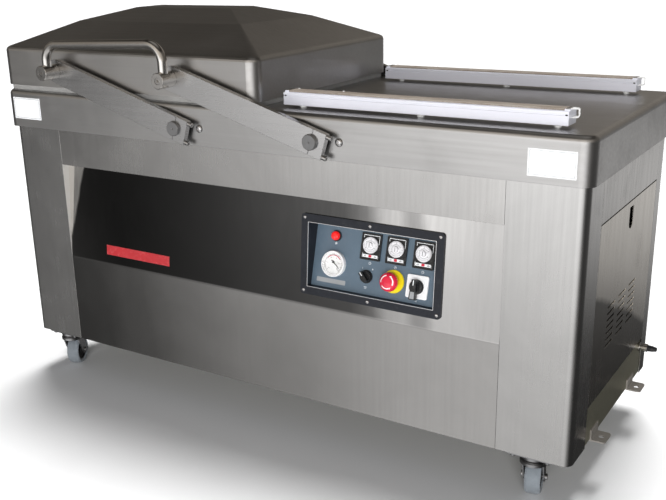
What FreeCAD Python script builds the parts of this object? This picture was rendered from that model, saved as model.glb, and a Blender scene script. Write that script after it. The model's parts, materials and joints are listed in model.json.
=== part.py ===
import FreeCAD, Part
import math
import os

os.makedirs("parts", exist_ok=True)
V = FreeCAD.Vector

# ---------------------------------------------------------------------------
# Double-chamber swing-lid vacuum packing machine, millimetres.
# Working frame: X along the front (centre of the deck at 0), Y from the front
# face of the deck (0) to its back, Z up from the floor.  Every shape is moved
# by SHIFT when it is written, so that the origin is the bottom centre of the
# whole machine's box.
# ---------------------------------------------------------------------------
SHIFT = V(-5.0, -286.0, 0.0)

# deck (table top)
DECK_L = 1460.0
DECK_D = 572.0
DECK_Z0 = 652.0
DECK_Z1 = 742.0
DECK_R = 25.0
DECK_EDGE_R = 12.0
DECK_WALL = 3.0
DECK_TOP = 6.0

# cabinet
CAB_X = 722.0
CAB_Y0 = 12.0
CAB_Y1 = 560.0
CAB_Z0 = 105.0
CAB_Z1 = 652.0
CAB_R = 18.0
SHEET = 2.0
POST_X = 571.0
POST_Y = 100.0
REAR_Y = 505.0
RAIL_Z = 565.0
BEND_Z = 329.0
SETBACK = 20.0
SIDE_Z0 = 192.0
INLET_Y, INLET_Z = 490.0, 176.0   # inlet fitting on the base skirt, right side
SIDE_Z1 = 560.0

# swing linkage
BASE_X = 175.0
BASE_Z = 690.0
LID_DX = 350.0
LID_DZ = 106.0
ARM_W = 54.0
ARM_Y0 = -21.0
ARM_Y1 = -8.0
SHAFT_R = 16.0
CLAMP_L = 31.0
PIN_R = 12.0
FIT = 0.06

# lid
LID_X0 = -730.0
LID_X1 = 30.0
LID_Y0 = 4.0
LID_Y1 = 568.0
LID_Z0 = 754.0
LID_Z1 = 842.0
LID_R = 25.0
LID_T = 2.5
CREASE_IN = 134.0
CREASE_Z = 898.0
FLAT_IN = 235.0
FLAT_Z = 925.0
REST_GAP = 0.3

# seal bars
BAR_X0 = 70.0
BAR_X1 = 667.0
BAR_D = 42.0
BAR_Y = 66.0
BAR_Z0 = 748.0
BAR_Z1 = 776.0
PIN_XS = (105.0, 373.0, 642.0)

# control panel
PANEL_X = 284.0
PANEL_Z = 441.0
PLATE_TILT = 10.0
PLATE_DEPTH = 24.0

# casters
CASTER_X = 640.0
CASTER_Y = 44.0
TRAIL = 24.0
WHEEL_R = 37.5
WHEEL_W = 32.0
SWIVELS = {"fl": (-CASTER_X, CASTER_Y, 24.0), "fr": (CASTER_X, CASTER_Y, 12.0),
           "rl": (-CASTER_X, DECK_D - CASTER_Y, -20.0), "rr": (CASTER_X, DECK_D - CASTER_Y, 35.0)}


# ---------------------------------------------------------------------------
def put(name, shape):
    s = shape.copy()
    s.translate(SHIFT)
    if not s.isValid():
        print("INVALID", name)
    s.exportStep("parts/%s.step" % name)
    print("%-20s solids %d  vol %.0f  box %s" % (name, len(s.Solids), s.Volume,
          [round(v, 1) for v in (s.BoundBox.XMin, s.BoundBox.YMin, s.BoundBox.ZMin,
                                 s.BoundBox.XMax, s.BoundBox.YMax, s.BoundBox.ZMax)]))


def box(x0, y0, z0, x1, y1, z1):
    return Part.makeBox(x1 - x0, y1 - y0, z1 - z0, V(x0, y0, z0))


def cyl(r, p, d, h):
    return Part.makeCylinder(r, h, V(*p), V(*d))


def cone(r0, r1, p, d, h):
    return Part.makeCone(r0, r1, h, V(*p), V(*d))


def fuse(shapes):
    s = shapes[0]
    if len(shapes) > 1:
        s = s.multiFuse(shapes[1:])
    s = s.removeSplitter()
    return s.Solids[0] if len(s.Solids) == 1 else s


def group(shapes):
    out = []
    for s in shapes:
        out.extend(s.Solids)
    return Part.makeCompound(out)


def rrect_wire(x0, y0, x1, y1, r, z):
    c = 0.70710678
    pts = [V(x0 + r, y0, z), V(x1 - r, y0, z), V(x1 - r + r * c, y0 + r - r * c, z), V(x1, y0 + r, z),
           V(x1, y1 - r, z), V(x1 - r + r * c, y1 - r + r * c, z), V(x1 - r, y1, z),
           V(x0 + r, y1, z), V(x0 + r - r * c, y1 - r + r * c, z), V(x0, y1 - r, z),
           V(x0, y0 + r, z), V(x0 + r - r * c, y0 + r - r * c, z)]
    e = [Part.makeLine(pts[0], pts[1]), Part.Arc(pts[1], pts[2], pts[3]).toShape(),
         Part.makeLine(pts[3], pts[4]), Part.Arc(pts[4], pts[5], pts[6]).toShape(),
         Part.makeLine(pts[6], pts[7]), Part.Arc(pts[7], pts[8], pts[9]).toShape(),
         Part.makeLine(pts[9], pts[10]), Part.Arc(pts[10], pts[11], pts[0]).toShape()]
    return Part.Wire(e)


def rprism(x0, y0, x1, y1, r, z0, z1):
    return Part.Face(rrect_wire(x0, y0, x1, y1, r, z0)).extrude(V(0, 0, z1 - z0))


def prism(pts, d):
    w = Part.makePolygon([V(*p) for p in pts] + [V(*pts[0])])
    return Part.Face(w).extrude(V(*d))


def rev(profile, p, d):
    """Turned solid: profile is (radius, height) points, axis at p along d."""
    pts = [V(r, 0, h) for r, h in profile]
    f = Part.Face(Part.makePolygon(pts + [pts[0]]))
    s = f.revolve(V(0, 0, 0), V(0, 0, 1), 360)
    if s.Volume < 0:
        s.reverse()
    rot = FreeCAD.Rotation(V(0, 0, 1), V(*d))
    s.Placement = FreeCAD.Placement(V(*p), rot)
    return s


def mirror_y(s):
    return s.mirror(V(0, DECK_D / 2.0, 0), V(0, 1, 0))


def mirror_x(s):
    return s.mirror(V(0, 0, 0), V(1, 0, 0))


# ---------------------------------------------------------------------------
# deck
# ---------------------------------------------------------------------------
h = DECK_L / 2.0
outer = rprism(-h, 0, h, DECK_D, DECK_R, DECK_Z0, DECK_Z1)
top_edges = [e for e in outer.Edges if abs(e.BoundBox.ZMin - DECK_Z1) < 1e-6 and abs(e.BoundBox.ZMax - DECK_Z1) < 1e-6]
outer = outer.makeFillet(DECK_EDGE_R, top_edges)
zi = DECK_Z1 - DECK_TOP
inner = rprism(-h + DECK_WALL, DECK_WALL, h - DECK_WALL, DECK_D - DECK_WALL, DECK_R - DECK_WALL, DECK_Z0 + 3.0, zi)
in_edges = [e for e in inner.Edges if abs(e.BoundBox.ZMin - zi) < 1e-6 and abs(e.BoundBox.ZMax - zi) < 1e-6]
inner = inner.makeFillet(9.0, in_edges)
deck = outer.cut(inner).cut(box(-690, 40, DECK_Z0 - 1, 690, 532, DECK_Z0 + 4))
holes = []
for sx in (-1, 1):
    for y in (BAR_Y, DECK_D - BAR_Y):
        for i, px in enumerate(PIN_XS):
            holes.append(cyl(6.6 if i == 1 else 5.6, (sx * px, y, zi - 2), (0, 0, 1), 12))
    holes.append(cyl(22.3, (sx * 365.0, 180.0, zi - 2), (0, 0, 1), 12))
    holes.append(cyl(SHAFT_R + 0.5, (sx * BASE_X, -1, BASE_Z), (0, 1, 0), DECK_WALL + 2))
    holes.append(cyl(SHAFT_R + 0.5, (sx * BASE_X, DECK_D - DECK_WALL - 1, BASE_Z), (0, 1, 0), DECK_WALL + 2))
    for dx in (-54, 54):
        holes.append(cyl(5.2, (sx * BASE_X + dx, -1, BASE_Z), (0, 1, 0), DECK_WALL + 2))
        holes.append(cyl(5.2, (sx * BASE_X + dx, DECK_D - DECK_WALL - 1, BASE_Z), (0, 1, 0), DECK_WALL + 2))
deck = deck.cut(Part.makeCompound(holes))
put("table_top", deck)

# shaft bearings: a flanged block behind each deck wall, held by two domed bolts
bearings = []
for sx in (-1, 1):
    cx = sx * BASE_X
    b = box(cx - 66, DECK_WALL, BASE_Z - 26, cx + 66, DECK_WALL + 22, BASE_Z + 26)
    b = b.cut(cyl(SHAFT_R + FIT, (cx, 0, BASE_Z), (0, 1, 0), 40))
    for dx in (-54, 54):
        b = b.cut(cyl(5.2, (cx + dx, 0, BASE_Z), (0, 1, 0), 40))
    bearings += [b, mirror_y(b)]
    for dx in (-54, 54):
        dome = rev([(0, 0), (8.75, 0), (8.75, 1.2), (7.6, 3.4), (5.4, 4.9), (3.0, 5.4), (3.0, 3.0), (0, 3.0)],
                   (cx + dx, 0, BASE_Z), (0, -1, 0))
        bolt = fuse([dome, cyl(5.0, (cx + dx, 0, BASE_Z), (0, 1, 0), 30)])
        bearings += [bolt, mirror_y(bolt)]
put("shaft_bearings", group(bearings))

# ---------------------------------------------------------------------------
# cabinet
# ---------------------------------------------------------------------------
shell = rprism(-CAB_X, CAB_Y0, CAB_X, CAB_Y1, CAB_R, CAB_Z0, CAB_Z1).cut(
    rprism(-CAB_X + SHEET, CAB_Y0 + SHEET, CAB_X - SHEET, CAB_Y1 - SHEET, CAB_R - SHEET, CAB_Z0 - 1, CAB_Z1 + 1))
pr = shell.common(box(POST_X, CAB_Y0 - 5, CAB_Z0 - 1, CAB_X + 5, POST_Y, CAB_Z1 + 1))
lip = box(POST_X, CAB_Y0, 202.0, POST_X + SHEET, CAB_Y0 + 44, CAB_Z1)
stud = []
for zc in (600.0, 268.0):
    stud.append(box(POST_X - 1, CAB_Y0 + 4, zc - 9, POST_X + 3, CAB_Y0 + 12, zc + 9))
post_r = fuse([pr.Solids[0], lip]).cut(Part.makeCompound(stud))
put("front_post_right", post_r)
put("front_post_left", mirror_x(post_r))
rp = shell.common(box(660, REAR_Y, CAB_Z0 - 1, CAB_X + 5, CAB_Y1 + 5, CAB_Z1 + 1)).Solids[0]
put("rear_posts", group([rp, mirror_x(rp)]))

x1 = POST_X - 0.5
front_rail = fuse([box(-x1, CAB_Y0, RAIL_Z, x1, CAB_Y0 + SHEET, CAB_Z1),
                   box(-x1, CAB_Y0, RAIL_Z, x1, CAB_Y0 + 34, RAIL_Z + SHEET)])
side_head = box(CAB_X - SHEET, POST_Y + 0.8, SIDE_Z1 + 2.6, CAB_X, REAR_Y - 0.8, CAB_Z1)
back_rail = box(-659, CAB_Y1 - SHEET, 600, 659, CAB_Y1, CAB_Z1)
put("top_rails", group([front_rail, side_head, mirror_x(side_head), back_rail]))

# bent front panel: vertical below BEND_Z, leaning back above it
k = SETBACK / (RAIL_Z - BEND_Z)
zt = RAIL_Z - 0.8
yt = CAB_Y0 + k * (zt - BEND_Z)
prof = [(-x1, CAB_Y0, CAB_Z0), (-x1, CAB_Y0, BEND_Z), (-x1, yt, zt), (-x1, yt + SHEET, zt),
        (-x1, CAB_Y0 + SHEET, BEND_Z - 0.1), (-x1, CAB_Y0 + SHEET, CAB_Z0)]
front = prism(prof, (2 * x1, 0, 0))
A1 = math.degrees(math.atan(k))
O1 = V(PANEL_X, CAB_Y0 + k * (PANEL_Z - BEND_Z), PANEL_Z)
a1 = math.radians(A1)
N_IN = V(0, math.cos(a1), -math.sin(a1))
O2 = O1 + N_IN * PLATE_DEPTH
A2 = A1 + PLATE_TILT


def on_panel(s):
    """Local frame: x along the panel, z up the slope, +y into the machine, origin on the panel face."""
    s = s.copy()
    s.Placement = FreeCAD.Placement(O1, FreeCAD.Rotation(V(1, 0, 0), -A1)).multiply(s.Placement)
    return s


def on_plate(s):
    s = s.copy()
    s.Placement = FreeCAD.Placement(O2, FreeCAD.Rotation(V(1, 0, 0), -A2)).multiply(s.Placement)
    return s


def rplate(x0, z0, x1_, z1, r, y0, y1):
    """Rounded rectangle in the x-z plane, from y0 to y1."""
    s = rprism(x0, z0, x1_, z1, r, 0, y1 - y0)
    s.Placement = FreeCAD.Placement(V(0, y1, 0), FreeCAD.Rotation(V(1, 0, 0), 90))
    return s


front = front.cut(on_panel(box(-149.6, -6, -72.1, 149.6, 12, 72.1)))
put("front_panel", front)

# lift-off side panels: hand slot with a pull lip behind it and three columns of slots
side = box(CAB_X - SHEET, POST_Y + 1.4, SIDE_Z0, CAB_X, REAR_Y - 1.4, SIDE_Z1)
SLOT_Y = 312.0
cuts = [box(CAB_X - 6, SLOT_Y - 14, 516, CAB_X + 4, SLOT_Y + 14, 548), cyl(14, (CAB_X - 6, SLOT_Y, 516), (1, 0, 0), 10)]
blades = []
for col in range(3):
    yc = 215.0 + 75.0 * col
    for row in range(7):
        zc = 288.0 + 13.8 * row
        cuts.append(box(CAB_X - 6, yc - 26, zc - 2.4, CAB_X + 4, yc + 26, zc + 2.4))
        pts = [(CAB_X - 2.0, yc - 26, zc + 2.4), (CAB_X - 0.9, yc - 26, zc + 2.4),
               (CAB_X - 6.2, yc - 26, zc - 3.4), (CAB_X - 7.3, yc - 26, zc - 3.4)]
        blades.append(prism(pts, (0, 52, 0)))
side = side.cut(Part.makeCompound(cuts))
lip = fuse([box(CAB_X - 9, SLOT_Y - 17, 522, CAB_X - 7.5, SLOT_Y + 17, 552), box(CAB_X - 9, SLOT_Y - 17, 548.5, CAB_X - 1.5, SLOT_Y + 17, 552)])
side = side.multiFuse(blades + [lip])
side = side.Solids[0] if len(side.Solids) == 1 else side
put("side_panel_right", side)
put("side_panel_left", mirror_x(side))

# back panel with ventilation slots
back = box(-658, CAB_Y1 - SHEET, CAB_Z0 + 2, 658, CAB_Y1, 599.4)
bc = []
for col in range(4):
    xc = -480.0 + 320.0 * col
    for row in range(6):
        bc.append(box(xc - 60, CAB_Y1 - 6, 240 + 26 * row, xc + 60, CAB_Y1 + 4, 247 + 26 * row))
back = back.cut(Part.makeCompound(bc))
put("back_panel", back)

# base frame: floor tray with an upstand, four angle uprights and a top ring
fx = CAB_X - SHEET - 1.0
fy0 = CAB_Y0 + SHEET + 1.0
fy1 = CAB_Y1 - SHEET - 1.0
tray = rprism(-fx, fy0, fx, fy1, 17, CAB_Z0, 200).cut(rprism(-fx + 3, fy0 + 3, fx - 3, fy1 - 3, 14, CAB_Z0 + 3, 201))
ups = []
for sx in (-1, 1):
    for yy in (0, 1):
        a = box(sx * 700 - 2, 36, CAB_Z0 + 1, sx * 700 + 2, 76, CAB_Z1 - 1)
        b = box(min(sx * 660, sx * 702), 36, CAB_Z0 + 1, max(sx * 660, sx * 702), 40, CAB_Z1 - 1)
        L = fuse([a, b])
        ups.append(mirror_y(L) if yy else L)
frame = fuse([tray] + ups).cut(cyl(5.4, (fx - 6, INLET_Y, INLET_Z), (1, 0, 0), 10))
put("base_frame", frame)

# anchor tabs: angle brackets bolted to the base skirt
tabs = []
for y in (165.0, 430.0):
    leg = box(fx, y - 23, 103, fx + 3, y + 23, 126)
    foot = box(fx, y - 23, 102, 750, y + 23, 105)
    cut1 = cyl(6.0, (736, y, 100), (0, 0, 1), 8)
    t = fuse([leg, foot]).cut(cut1)
    corners = [e for e in t.Edges if abs(e.BoundBox.XMin - 750) < 1e-6 and e.BoundBox.XLength < 1e-6 and e.BoundBox.YLength < 1e-6]
    t = t.makeFillet(7.0, corners)
    tabs += [t, mirror_x(t)]
put("anchor_tabs", group(tabs))

# ---------------------------------------------------------------------------
# lid
# ---------------------------------------------------------------------------
def lid_wire(i, z, r):
    return rrect_wire(LID_X0 + i, LID_Y0 + i, LID_X1 - i, LID_Y1 - i, r, z)


SL = (CREASE_Z - LID_Z1) / CREASE_IN
outer = Part.makeLoft([lid_wire(0, LID_Z0, LID_R), lid_wire(0, LID_Z1 - 7, LID_R), lid_wire(0.9, LID_Z1 - 3, LID_R - 0.9),
                       lid_wire(3.6, LID_Z1 + 0.6, LID_R - 3.0), lid_wire(8.5, LID_Z1 + SL * 8.5, LID_R - 5.0),
                       lid_wire(CREASE_IN, CREASE_Z, 4.0), lid_wire(FLAT_IN, FLAT_Z, 3.0)], True, True)
t = LID_T
inner = Part.makeLoft([lid_wire(t, LID_Z0 + 3, LID_R - t), lid_wire(t, LID_Z1 - 9, LID_R - t),
                       lid_wire(t + 6.5, LID_Z1 + SL * 6.5 - 2.8, LID_R - 6.0),
                       lid_wire(CREASE_IN + 1, CREASE_Z - 2.8, 4.0), lid_wire(FLAT_IN, FLAT_Z - 2.8, 3.0)], True, True)
mouth = rprism(LID_X0 + 24, LID_Y0 + 24, LID_X1 - 24, LID_Y1 - 24, 8, LID_Z0 - 1, LID_Z0 + 4)
lid = outer.cut(inner).cut(mouth)
SEAM = 24.0                  # the four wall sheets meet the roof sheet this far in from the outline


def five_sheets(body, inset):
    """The part inside the inset outline, then the left, right, front and rear borders."""
    big = 3000.0
    xa, xb, ya, yb = LID_X0 + inset, LID_X1 - inset, LID_Y0 + inset, LID_Y1 - inset
    cells = [(xa, ya, xb, yb), (-big, -big, xa, big), (xb, -big, big, big), (xa, -big, xb, ya), (xa, yb, xb, big)]
    cut = [[o for o in body.common(Part.makeBox(bx - ax, by - ay, 2000, V(ax, ay, 0))).Solids if o.Volume > 1.0]
           for ax, ay, bx, by in cells]
    # the rounded inner corners stay with the front and rear sheets
    ym = (LID_Y0 + LID_Y1) / 2.0
    corners = [o for o in cut[0] if o.Volume < 2000.0]
    out = [o for o in cut[0] if o.Volume >= 2000.0] + cut[1] + cut[2]
    out.append(fuse(cut[3] + [o for o in corners if o.BoundBox.YMax < ym]))
    out.append(fuse(cut[4] + [o for o in corners if o.BoundBox.YMin > ym]))
    return out


put("lid_shell", group(five_sheets(lid, SEAM)))

g = rprism(LID_X0 + 6, LID_Y0 + 6, LID_X1 - 6, LID_Y1 - 6, 19, DECK_Z1 + REST_GAP, LID_Z0)
g = g.cut(rprism(LID_X0 + 20, LID_Y0 + 20, LID_X1 - 20, LID_Y1 - 20, 8, DECK_Z1 - 1, LID_Z0 + 1))
put("lid_gasket", group(five_sheets(g, 20.0)))

pads = []
for yc, sgn in ((BAR_Y, -1), (DECK_D - BAR_Y, 1)):
    px0, px1 = -(BAR_X1 + 6), -(BAR_X0 - 6)
    rub = box(px0, yc - 8, 789.5, px1, yc + 8, 806)
    ch = box(px0, yc - 13, 801, px1, yc + 13, 823)
    arms_ = []
    for xx in (-600.0, -368.0, -136.0):
        wall = LID_Y0 + LID_T if sgn < 0 else LID_Y1 - LID_T
        y0, y1 = (wall, yc) if sgn < 0 else (yc, wall)
        arms_.append(box(xx - 12, y0, 805, xx + 12, y1, 819))
    pads.append(fuse([rub, ch] + arms_))
put("lid_seal_pads", group(pads))

LPX = (-BASE_X - LID_DX, BASE_X - LID_DX)
LPZ = BASE_Z + LID_DZ
bosses = []
HANDLE_Y = -43.0
for px in LPX:
    spacer = cyl(20, (px, LID_Y0, LPZ), (0, -1, 0), LID_Y0 - ARM_Y1 - 0.4)
    pin = cyl(PIN_R, (px, LID_Y0, LPZ), (0, -1, 0), LID_Y0 - ARM_Y0 + 2)
    b0 = ARM_Y0 - 0.4
    body = rev([(0, 0), (17, 0), (17, 41.4), (15.8, 42.6), (7.2, 42.6), (7.2, 36.6), (0, 36.6)], (px, b0, LPZ), (0, -1, 0))
    screw = cyl(6.5, (px, b0 - 34, LPZ), (0, -1, 0), 7.6)
    hexs = Part.Face(Part.makePolygon([V(px + 3.2 * math.cos(math.radians(a)), b0 - 43, LPZ + 3.2 * math.sin(math.radians(a)))
                                       for a in (0, 60, 120, 180, 240, 300, 360)])).extrude(V(0, 6, 0))
    one = fuse([spacer, pin, body, screw]).cut(hexs)
    bosses += [one, mirror_y(one)]
put("lid_bosses", group(bosses))

# handle: bent tube between the two front bosses, a little higher at its right end
TUBE_R = 10.5
corner = [V(LPX[0], HANDLE_Y, LPZ + 8), V(LPX[0], HANDLE_Y, 858.5), V(LPX[1], HANDLE_Y, 870.8), V(LPX[1], HANDLE_Y, LPZ + 8)]


def round_path(pts, rad):
    edges = []
    cur = pts[0]
    for i in range(1, len(pts) - 1):
        a = (pts[i - 1] - pts[i]).normalize()
        b = (pts[i + 1] - pts[i]).normalize()
        half = a.getAngle(b) / 2.0
        d = rad / math.tan(half)
        p1 = pts[i] + a * d
        p2 = pts[i] + b * d
        bis = (a + b).normalize()
        c = pts[i] + bis * (rad / math.sin(half))
        mid = c - bis * rad
        edges.append(Part.makeLine(cur, p1))
        edges.append(Part.Arc(p1, mid, p2).toShape())
        cur = p2
    edges.append(Part.makeLine(cur, pts[-1]))
    return Part.Wire(edges)


path = round_path(corner, 38.0)
ring = Part.Wire([Part.Circle(corner[0], V(0, 0, 1), TUBE_R).toShape()])
tube = path.makePipeShell([ring], True, True)
for px in LPX:
    tube = tube.cut(cyl(17.0, (px, HANDLE_Y - 60, LPZ), (0, 1, 0), 120))
tube = tube.Solids[0]
print("handle length", path.Length, "volume ratio", tube.Volume / (path.Length * math.pi * TUBE_R ** 2))
put("lid_handle", tube)

# ---------------------------------------------------------------------------
# swing arms, one pair on each cross shaft
# ---------------------------------------------------------------------------
R_ARM = math.hypot(LID_DX, LID_DZ)
TH = math.degrees(math.atan2(LID_DZ, -LID_DX))
ym = (ARM_Y0 + ARM_Y1) / 2.0


def place_arm(s, bx):
    # local s axis = +X, turned in the X-Z plane to the rest direction
    s = s.copy()
    s.Placement = FreeCAD.Placement(V(bx, 0, BASE_Z), FreeCAD.Rotation(V(0, 1, 0), -TH)).multiply(s.Placement)
    return s


def arm_parts():
    w = ARM_W / 2.0
    blade = fuse([box(0.5, ARM_Y0, -w, R_ARM, ARM_Y1, w), cyl(w, (R_ARM, ARM_Y0, 0), (0, 1, 0), ARM_Y1 - ARM_Y0)])
    blade = blade.cut(cyl(SHAFT_R + 0.02, (0, ARM_Y0 - 1, 0), (0, 1, 0), 20))
    blade = blade.cut(cyl(PIN_R + FIT, (R_ARM, ARM_Y0 - 1, 0), (0, 1, 0), 20))
    cap = box(-CLAMP_L, ARM_Y0, -w, -0.5, ARM_Y1, w).cut(cyl(SHAFT_R + 0.02, (0, ARM_Y0 - 1, 0), (0, 1, 0), 20))
    screws = []
    for tt in (-21.5, 21.5):
        hole = cyl(3.1, (-60, ym, tt), (1, 0, 0), 92)
        blade = blade.cut(hole)
        cap = cap.cut(hole)
        sc = fuse([cyl(3.0, (-CLAMP_L - 1, ym, tt), (1, 0, 0), CLAMP_L + 31), cyl(5.0, (-CLAMP_L - 10, ym, tt), (1, 0, 0), 10)])
        sock = Part.Face(Part.makePolygon([V(-CLAMP_L - 11, ym + 2.6 * math.cos(math.radians(a)), tt + 2.6 * math.sin(math.radians(a)))
                                           for a in (0, 60, 120, 180, 240, 300, 360)])).extrude(V(5, 0, 0))
        screws.append(sc.cut(sock))
    return blade, cap, screws


for side_name, bx in (("left", -BASE_X), ("right", BASE_X)):
    blade, cap, screws = arm_parts()
    bl = place_arm(blade, bx)
    put("arm_%s_front" % side_name, bl)
    put("arm_%s_rear" % side_name, mirror_y(bl))
    cl = [place_arm(cap, bx)] + [place_arm(s, bx) for s in screws]
    put("clamps_%s" % side_name, group(cl + [mirror_y(s) for s in cl]))
    y0 = ARM_Y0 - 7.0
    y1 = DECK_D - y0
    shaft = rev([(0, 1.5), (2.2, 0), (14.8, 0), (16, 1.2), (16, y1 - y0 - 1.2), (14.8, y1 - y0), (2.2, y1 - y0), (0, y1 - y0 - 1.5)],
                (bx, y0, BASE_Z), (0, 1, 0))
    put("shaft_%s" % side_name, shaft)

# ---------------------------------------------------------------------------
# seal bars, lift cylinders and guides
# ---------------------------------------------------------------------------
def seal_bar(sx, yc):
    xa, xb = (BAR_X0, BAR_X1)
    d = BAR_D / 2.0
    z0, z1 = BAR_Z0, BAR_Z1
    g0, g1 = z1 - 10.5, z1 - 8.0
    pts = [(xa, yc - d, z0), (xa, yc - d, g0), (xa, yc - d + 1.6, g0), (xa, yc - d + 1.6, g1), (xa, yc - d, g1), (xa, yc - d, z1 - 3),
           (xa, yc - 15, z1 - 3), (xa, yc - 15, z1), (xa, yc + 15, z1), (xa, yc + 15, z1 - 3), (xa, yc + d, z1 - 3),
           (xa, yc + d, g1), (xa, yc + d - 1.6, g1), (xa, yc + d - 1.6, g0), (xa, yc + d, g0), (xa, yc + d, z0)]
    bar = prism(pts, (xb - xa, 0, 0))
    rods = []
    for i, px in enumerate(PIN_XS):
        r = 6.0 if i == 1 else 5.0
        zb = 692.0 if i == 1 else 706.0
        rods.append(cyl(r, (px, yc, zb), (0, 0, 1), z0 - zb + 1))
    s = fuse([bar] + rods)
    return mirror_x(s) if sx < 0 else s


for nm, sx in (("left", -1), ("right", 1)):
    put("seal_bar_%s_front" % nm, seal_bar(sx, BAR_Y))
    put("seal_bar_%s_rear" % nm, seal_bar(sx, DECK_D - BAR_Y))

lifts = []
for sx in (-1, 1):
    for y in (BAR_Y, DECK_D - BAR_Y):
        for i, px in enumerate(PIN_XS):
            x = sx * px
            if i == 1:
                c = fuse([cyl(24, (x, y, 664), (0, 0, 1), 66), box(x - 28, y - 28, 730, x + 28, y + 28, zi)])
                c = c.cut(cyl(6.45, (x, y, 688), (0, 0, 1), 60))
            else:
                c = fuse([cyl(9.5, (x, y, 700), (0, 0, 1), 32), cyl(13, (x, y, 731), (0, 0, 1), zi - 731)])
                c = c.cut(cyl(5.45, (x, y, 690), (0, 0, 1), 60))
            lifts.append(c)
put("lift_cylinders", group(lifts))

# ---------------------------------------------------------------------------
# control panel
# ---------------------------------------------------------------------------
bez = fuse([rplate(-163.5, -87, 163.5, 87, 7, -4.0, 0.0), rplate(-149, -71.5, 149, 71.5, 1.5, -4.0, 40.0)])
bez = bez.cut(rplate(-147, -69.6, 147, 69.6, 1.0, -6.0, 42.0))
bscrews = []
for u, w in ((-155.5, 79), (155.5, 79), (-155.5, -79), (155.5, -79), (0, 79), (0, -79)):
    hole = cyl(2.6, (u, -5, w), (0, 1, 0), 12)
    bez = bez.cut(hole)
    head = rev([(0, 0), (3.6, 0), (3.6, 0.8), (2.4, 1.6), (0, 1.9)], (u, -4.0, w), (0, -1, 0))
    slot = box(u - 3.6, -6.5, w - 0.5, u + 3.6, -4.9, w + 0.5)
    sc = fuse([head, cyl(2.5, (u, -4.2, w), (0, 1, 0), 4.2)]).cut(slot)
    bscrews.append(sc)
put("control_bezel", group([on_panel(bez)] + [on_panel(s) for s in bscrews]))

LAMP = (-97.0, 41.0)
GAUGE = (-95.0, -18.0)
TIMER_U = (-12.0, 47.0, 108.5)
TIMER_W = (2.0, 57.5)
DIAL_W = 33.0
SEL = (-16.0, -33.0)
STOP = (47.0, -33.0)
MAIN = (101.5, -35.0)
plate = box(-146.7, 0, -70.4, 146.7, 2, 70.4)
ph = [cyl(8.4, (LAMP[0], -1, LAMP[1]), (0, 1, 0), 5), cyl(24.4, (GAUGE[0], -1, GAUGE[1]), (0, 1, 0), 5),
      cyl(9.4, (SEL[0], -1, SEL[1]), (0, 1, 0), 5), cyl(11.4, (STOP[0], -1, STOP[1]), (0, 1, 0), 5),
      cyl(9.4, (MAIN[0], -1, MAIN[1]), (0, 1, 0), 5)]
for u in TIMER_U:
    ph.append(box(u - 20.3, -1, TIMER_W[0] + 2.7, u + 20.3, 4, TIMER_W[1] - 2.7))
plate = plate.cut(Part.makeCompound(ph))
put("control_plate", on_plate(plate))

lamp = rev([(0, -28), (8, -28), (8, 0), (11.5, 0), (11.5, 3), (10.3, 4), (9.4, 4), (9.4, 8), (8.2, 10.4), (5.6, 11.8), (0, 12.4)],
           (LAMP[0], 0, LAMP[1]), (0, -1, 0))
put("pilot_lamp", on_plate(lamp))

gauge = rev([(0, -30), (24, -30), (24, 0), (27.5, 0), (27.5, 9), (26.6, 10), (25.2, 10), (25.2, 5.5), (0, 5.5)],
            (GAUGE[0], 0, GAUGE[1]), (0, -1, 0))
gp = (GAUGE[0], GAUGE[1] + 4.0)
gauge = fuse([gauge, cyl(0.9, (gp[0], -5.0, gp[1]), (0, -1, 0), 3.4)])
put("gauge_case", on_plate(gauge))

na = math.radians(-38.5)
ndl = prism([(-5.5, -6.6, -1.1), (-5.5, -6.6, 1.1), (17, -6.6, 0.35), (19.5, -6.6, 0), (17, -6.6, -0.35)], (0, -0.7, 0))
ndl = fuse([ndl, cyl(2.6, (0, -6.1, 0), (0, -1, 0), 2.2)]).cut(cyl(0.95, (0, -5, 0), (0, -1, 0), 5))
ndl.Placement = FreeCAD.Placement(V(gp[0], 0, gp[1]), FreeCAD.Rotation(V(0, 1, 0), 38.5))
put("gauge_needle", on_plate(ndl))

tb = []
for i, u in enumerate(TIMER_U):
    w0, w1 = TIMER_W
    b = fuse([rplate(u - 22.8, w0, u + 22.8, w1, 1.5, -5.0, 0.0), box(u - 20, -1, w0 + 3, u + 20, 52, w1 - 3)])
    b = b.cut(rplate(u - 20.2, w0 + 2.4, u + 20.2, w1 - 2.4, 1.0, -6.0, -3.6))
    b = b.cut(cyl(3.06, (u, -8, DIAL_W), (0, 1, 0), 22))
    tb.append(on_plate(b))
    d = rev([(0, -10), (3, -10), (3, 4.1), (16.2, 4.1), (17, 4.8), (17, 8.2), (16.2, 9.0), (13.6, 9.0), (13.6, 7.6), (6.2, 7.6), (5.6, 12.8), (0, 12.8)],
            (u, 0, DIAL_W), (0, -1, 0))
    put("timer_dial_%d" % (i + 1), on_plate(d))
put("timer_bodies", group(tb))

# selector base and main switch base
sb = rev([(0, -38), (9, -38), (9, 0), (14, 0), (14, 2.2), (13.2, 3), (0, 3)], (SEL[0], 0, SEL[1]), (0, -1, 0))
sb = sb.cut(cyl(4.06, (SEL[0], -6, SEL[1]), (0, 1, 0), 26))
ms = fuse([rplate(MAIN[0] - 23.5, MAIN[1] - 23.5, MAIN[0] + 23.5, MAIN[1] + 23.5, 3.5, -3.5, 0.0),
           cyl(9, (MAIN[0], -1, MAIN[1]), (0, 1, 0), 6), box(MAIN[0] - 22, 2.4, MAIN[1] - 22, MAIN[0] + 22, 46, MAIN[1] + 22),
           cyl(15, (MAIN[0], -3.4, MAIN[1]), (0, -1, 0), 3.6)])
ms = ms.cut(cyl(4.06, (MAIN[0], -10, MAIN[1]), (0, 1, 0), 30))
put("switch_bases", group([on_plate(sb), on_plate(ms)]))

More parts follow.
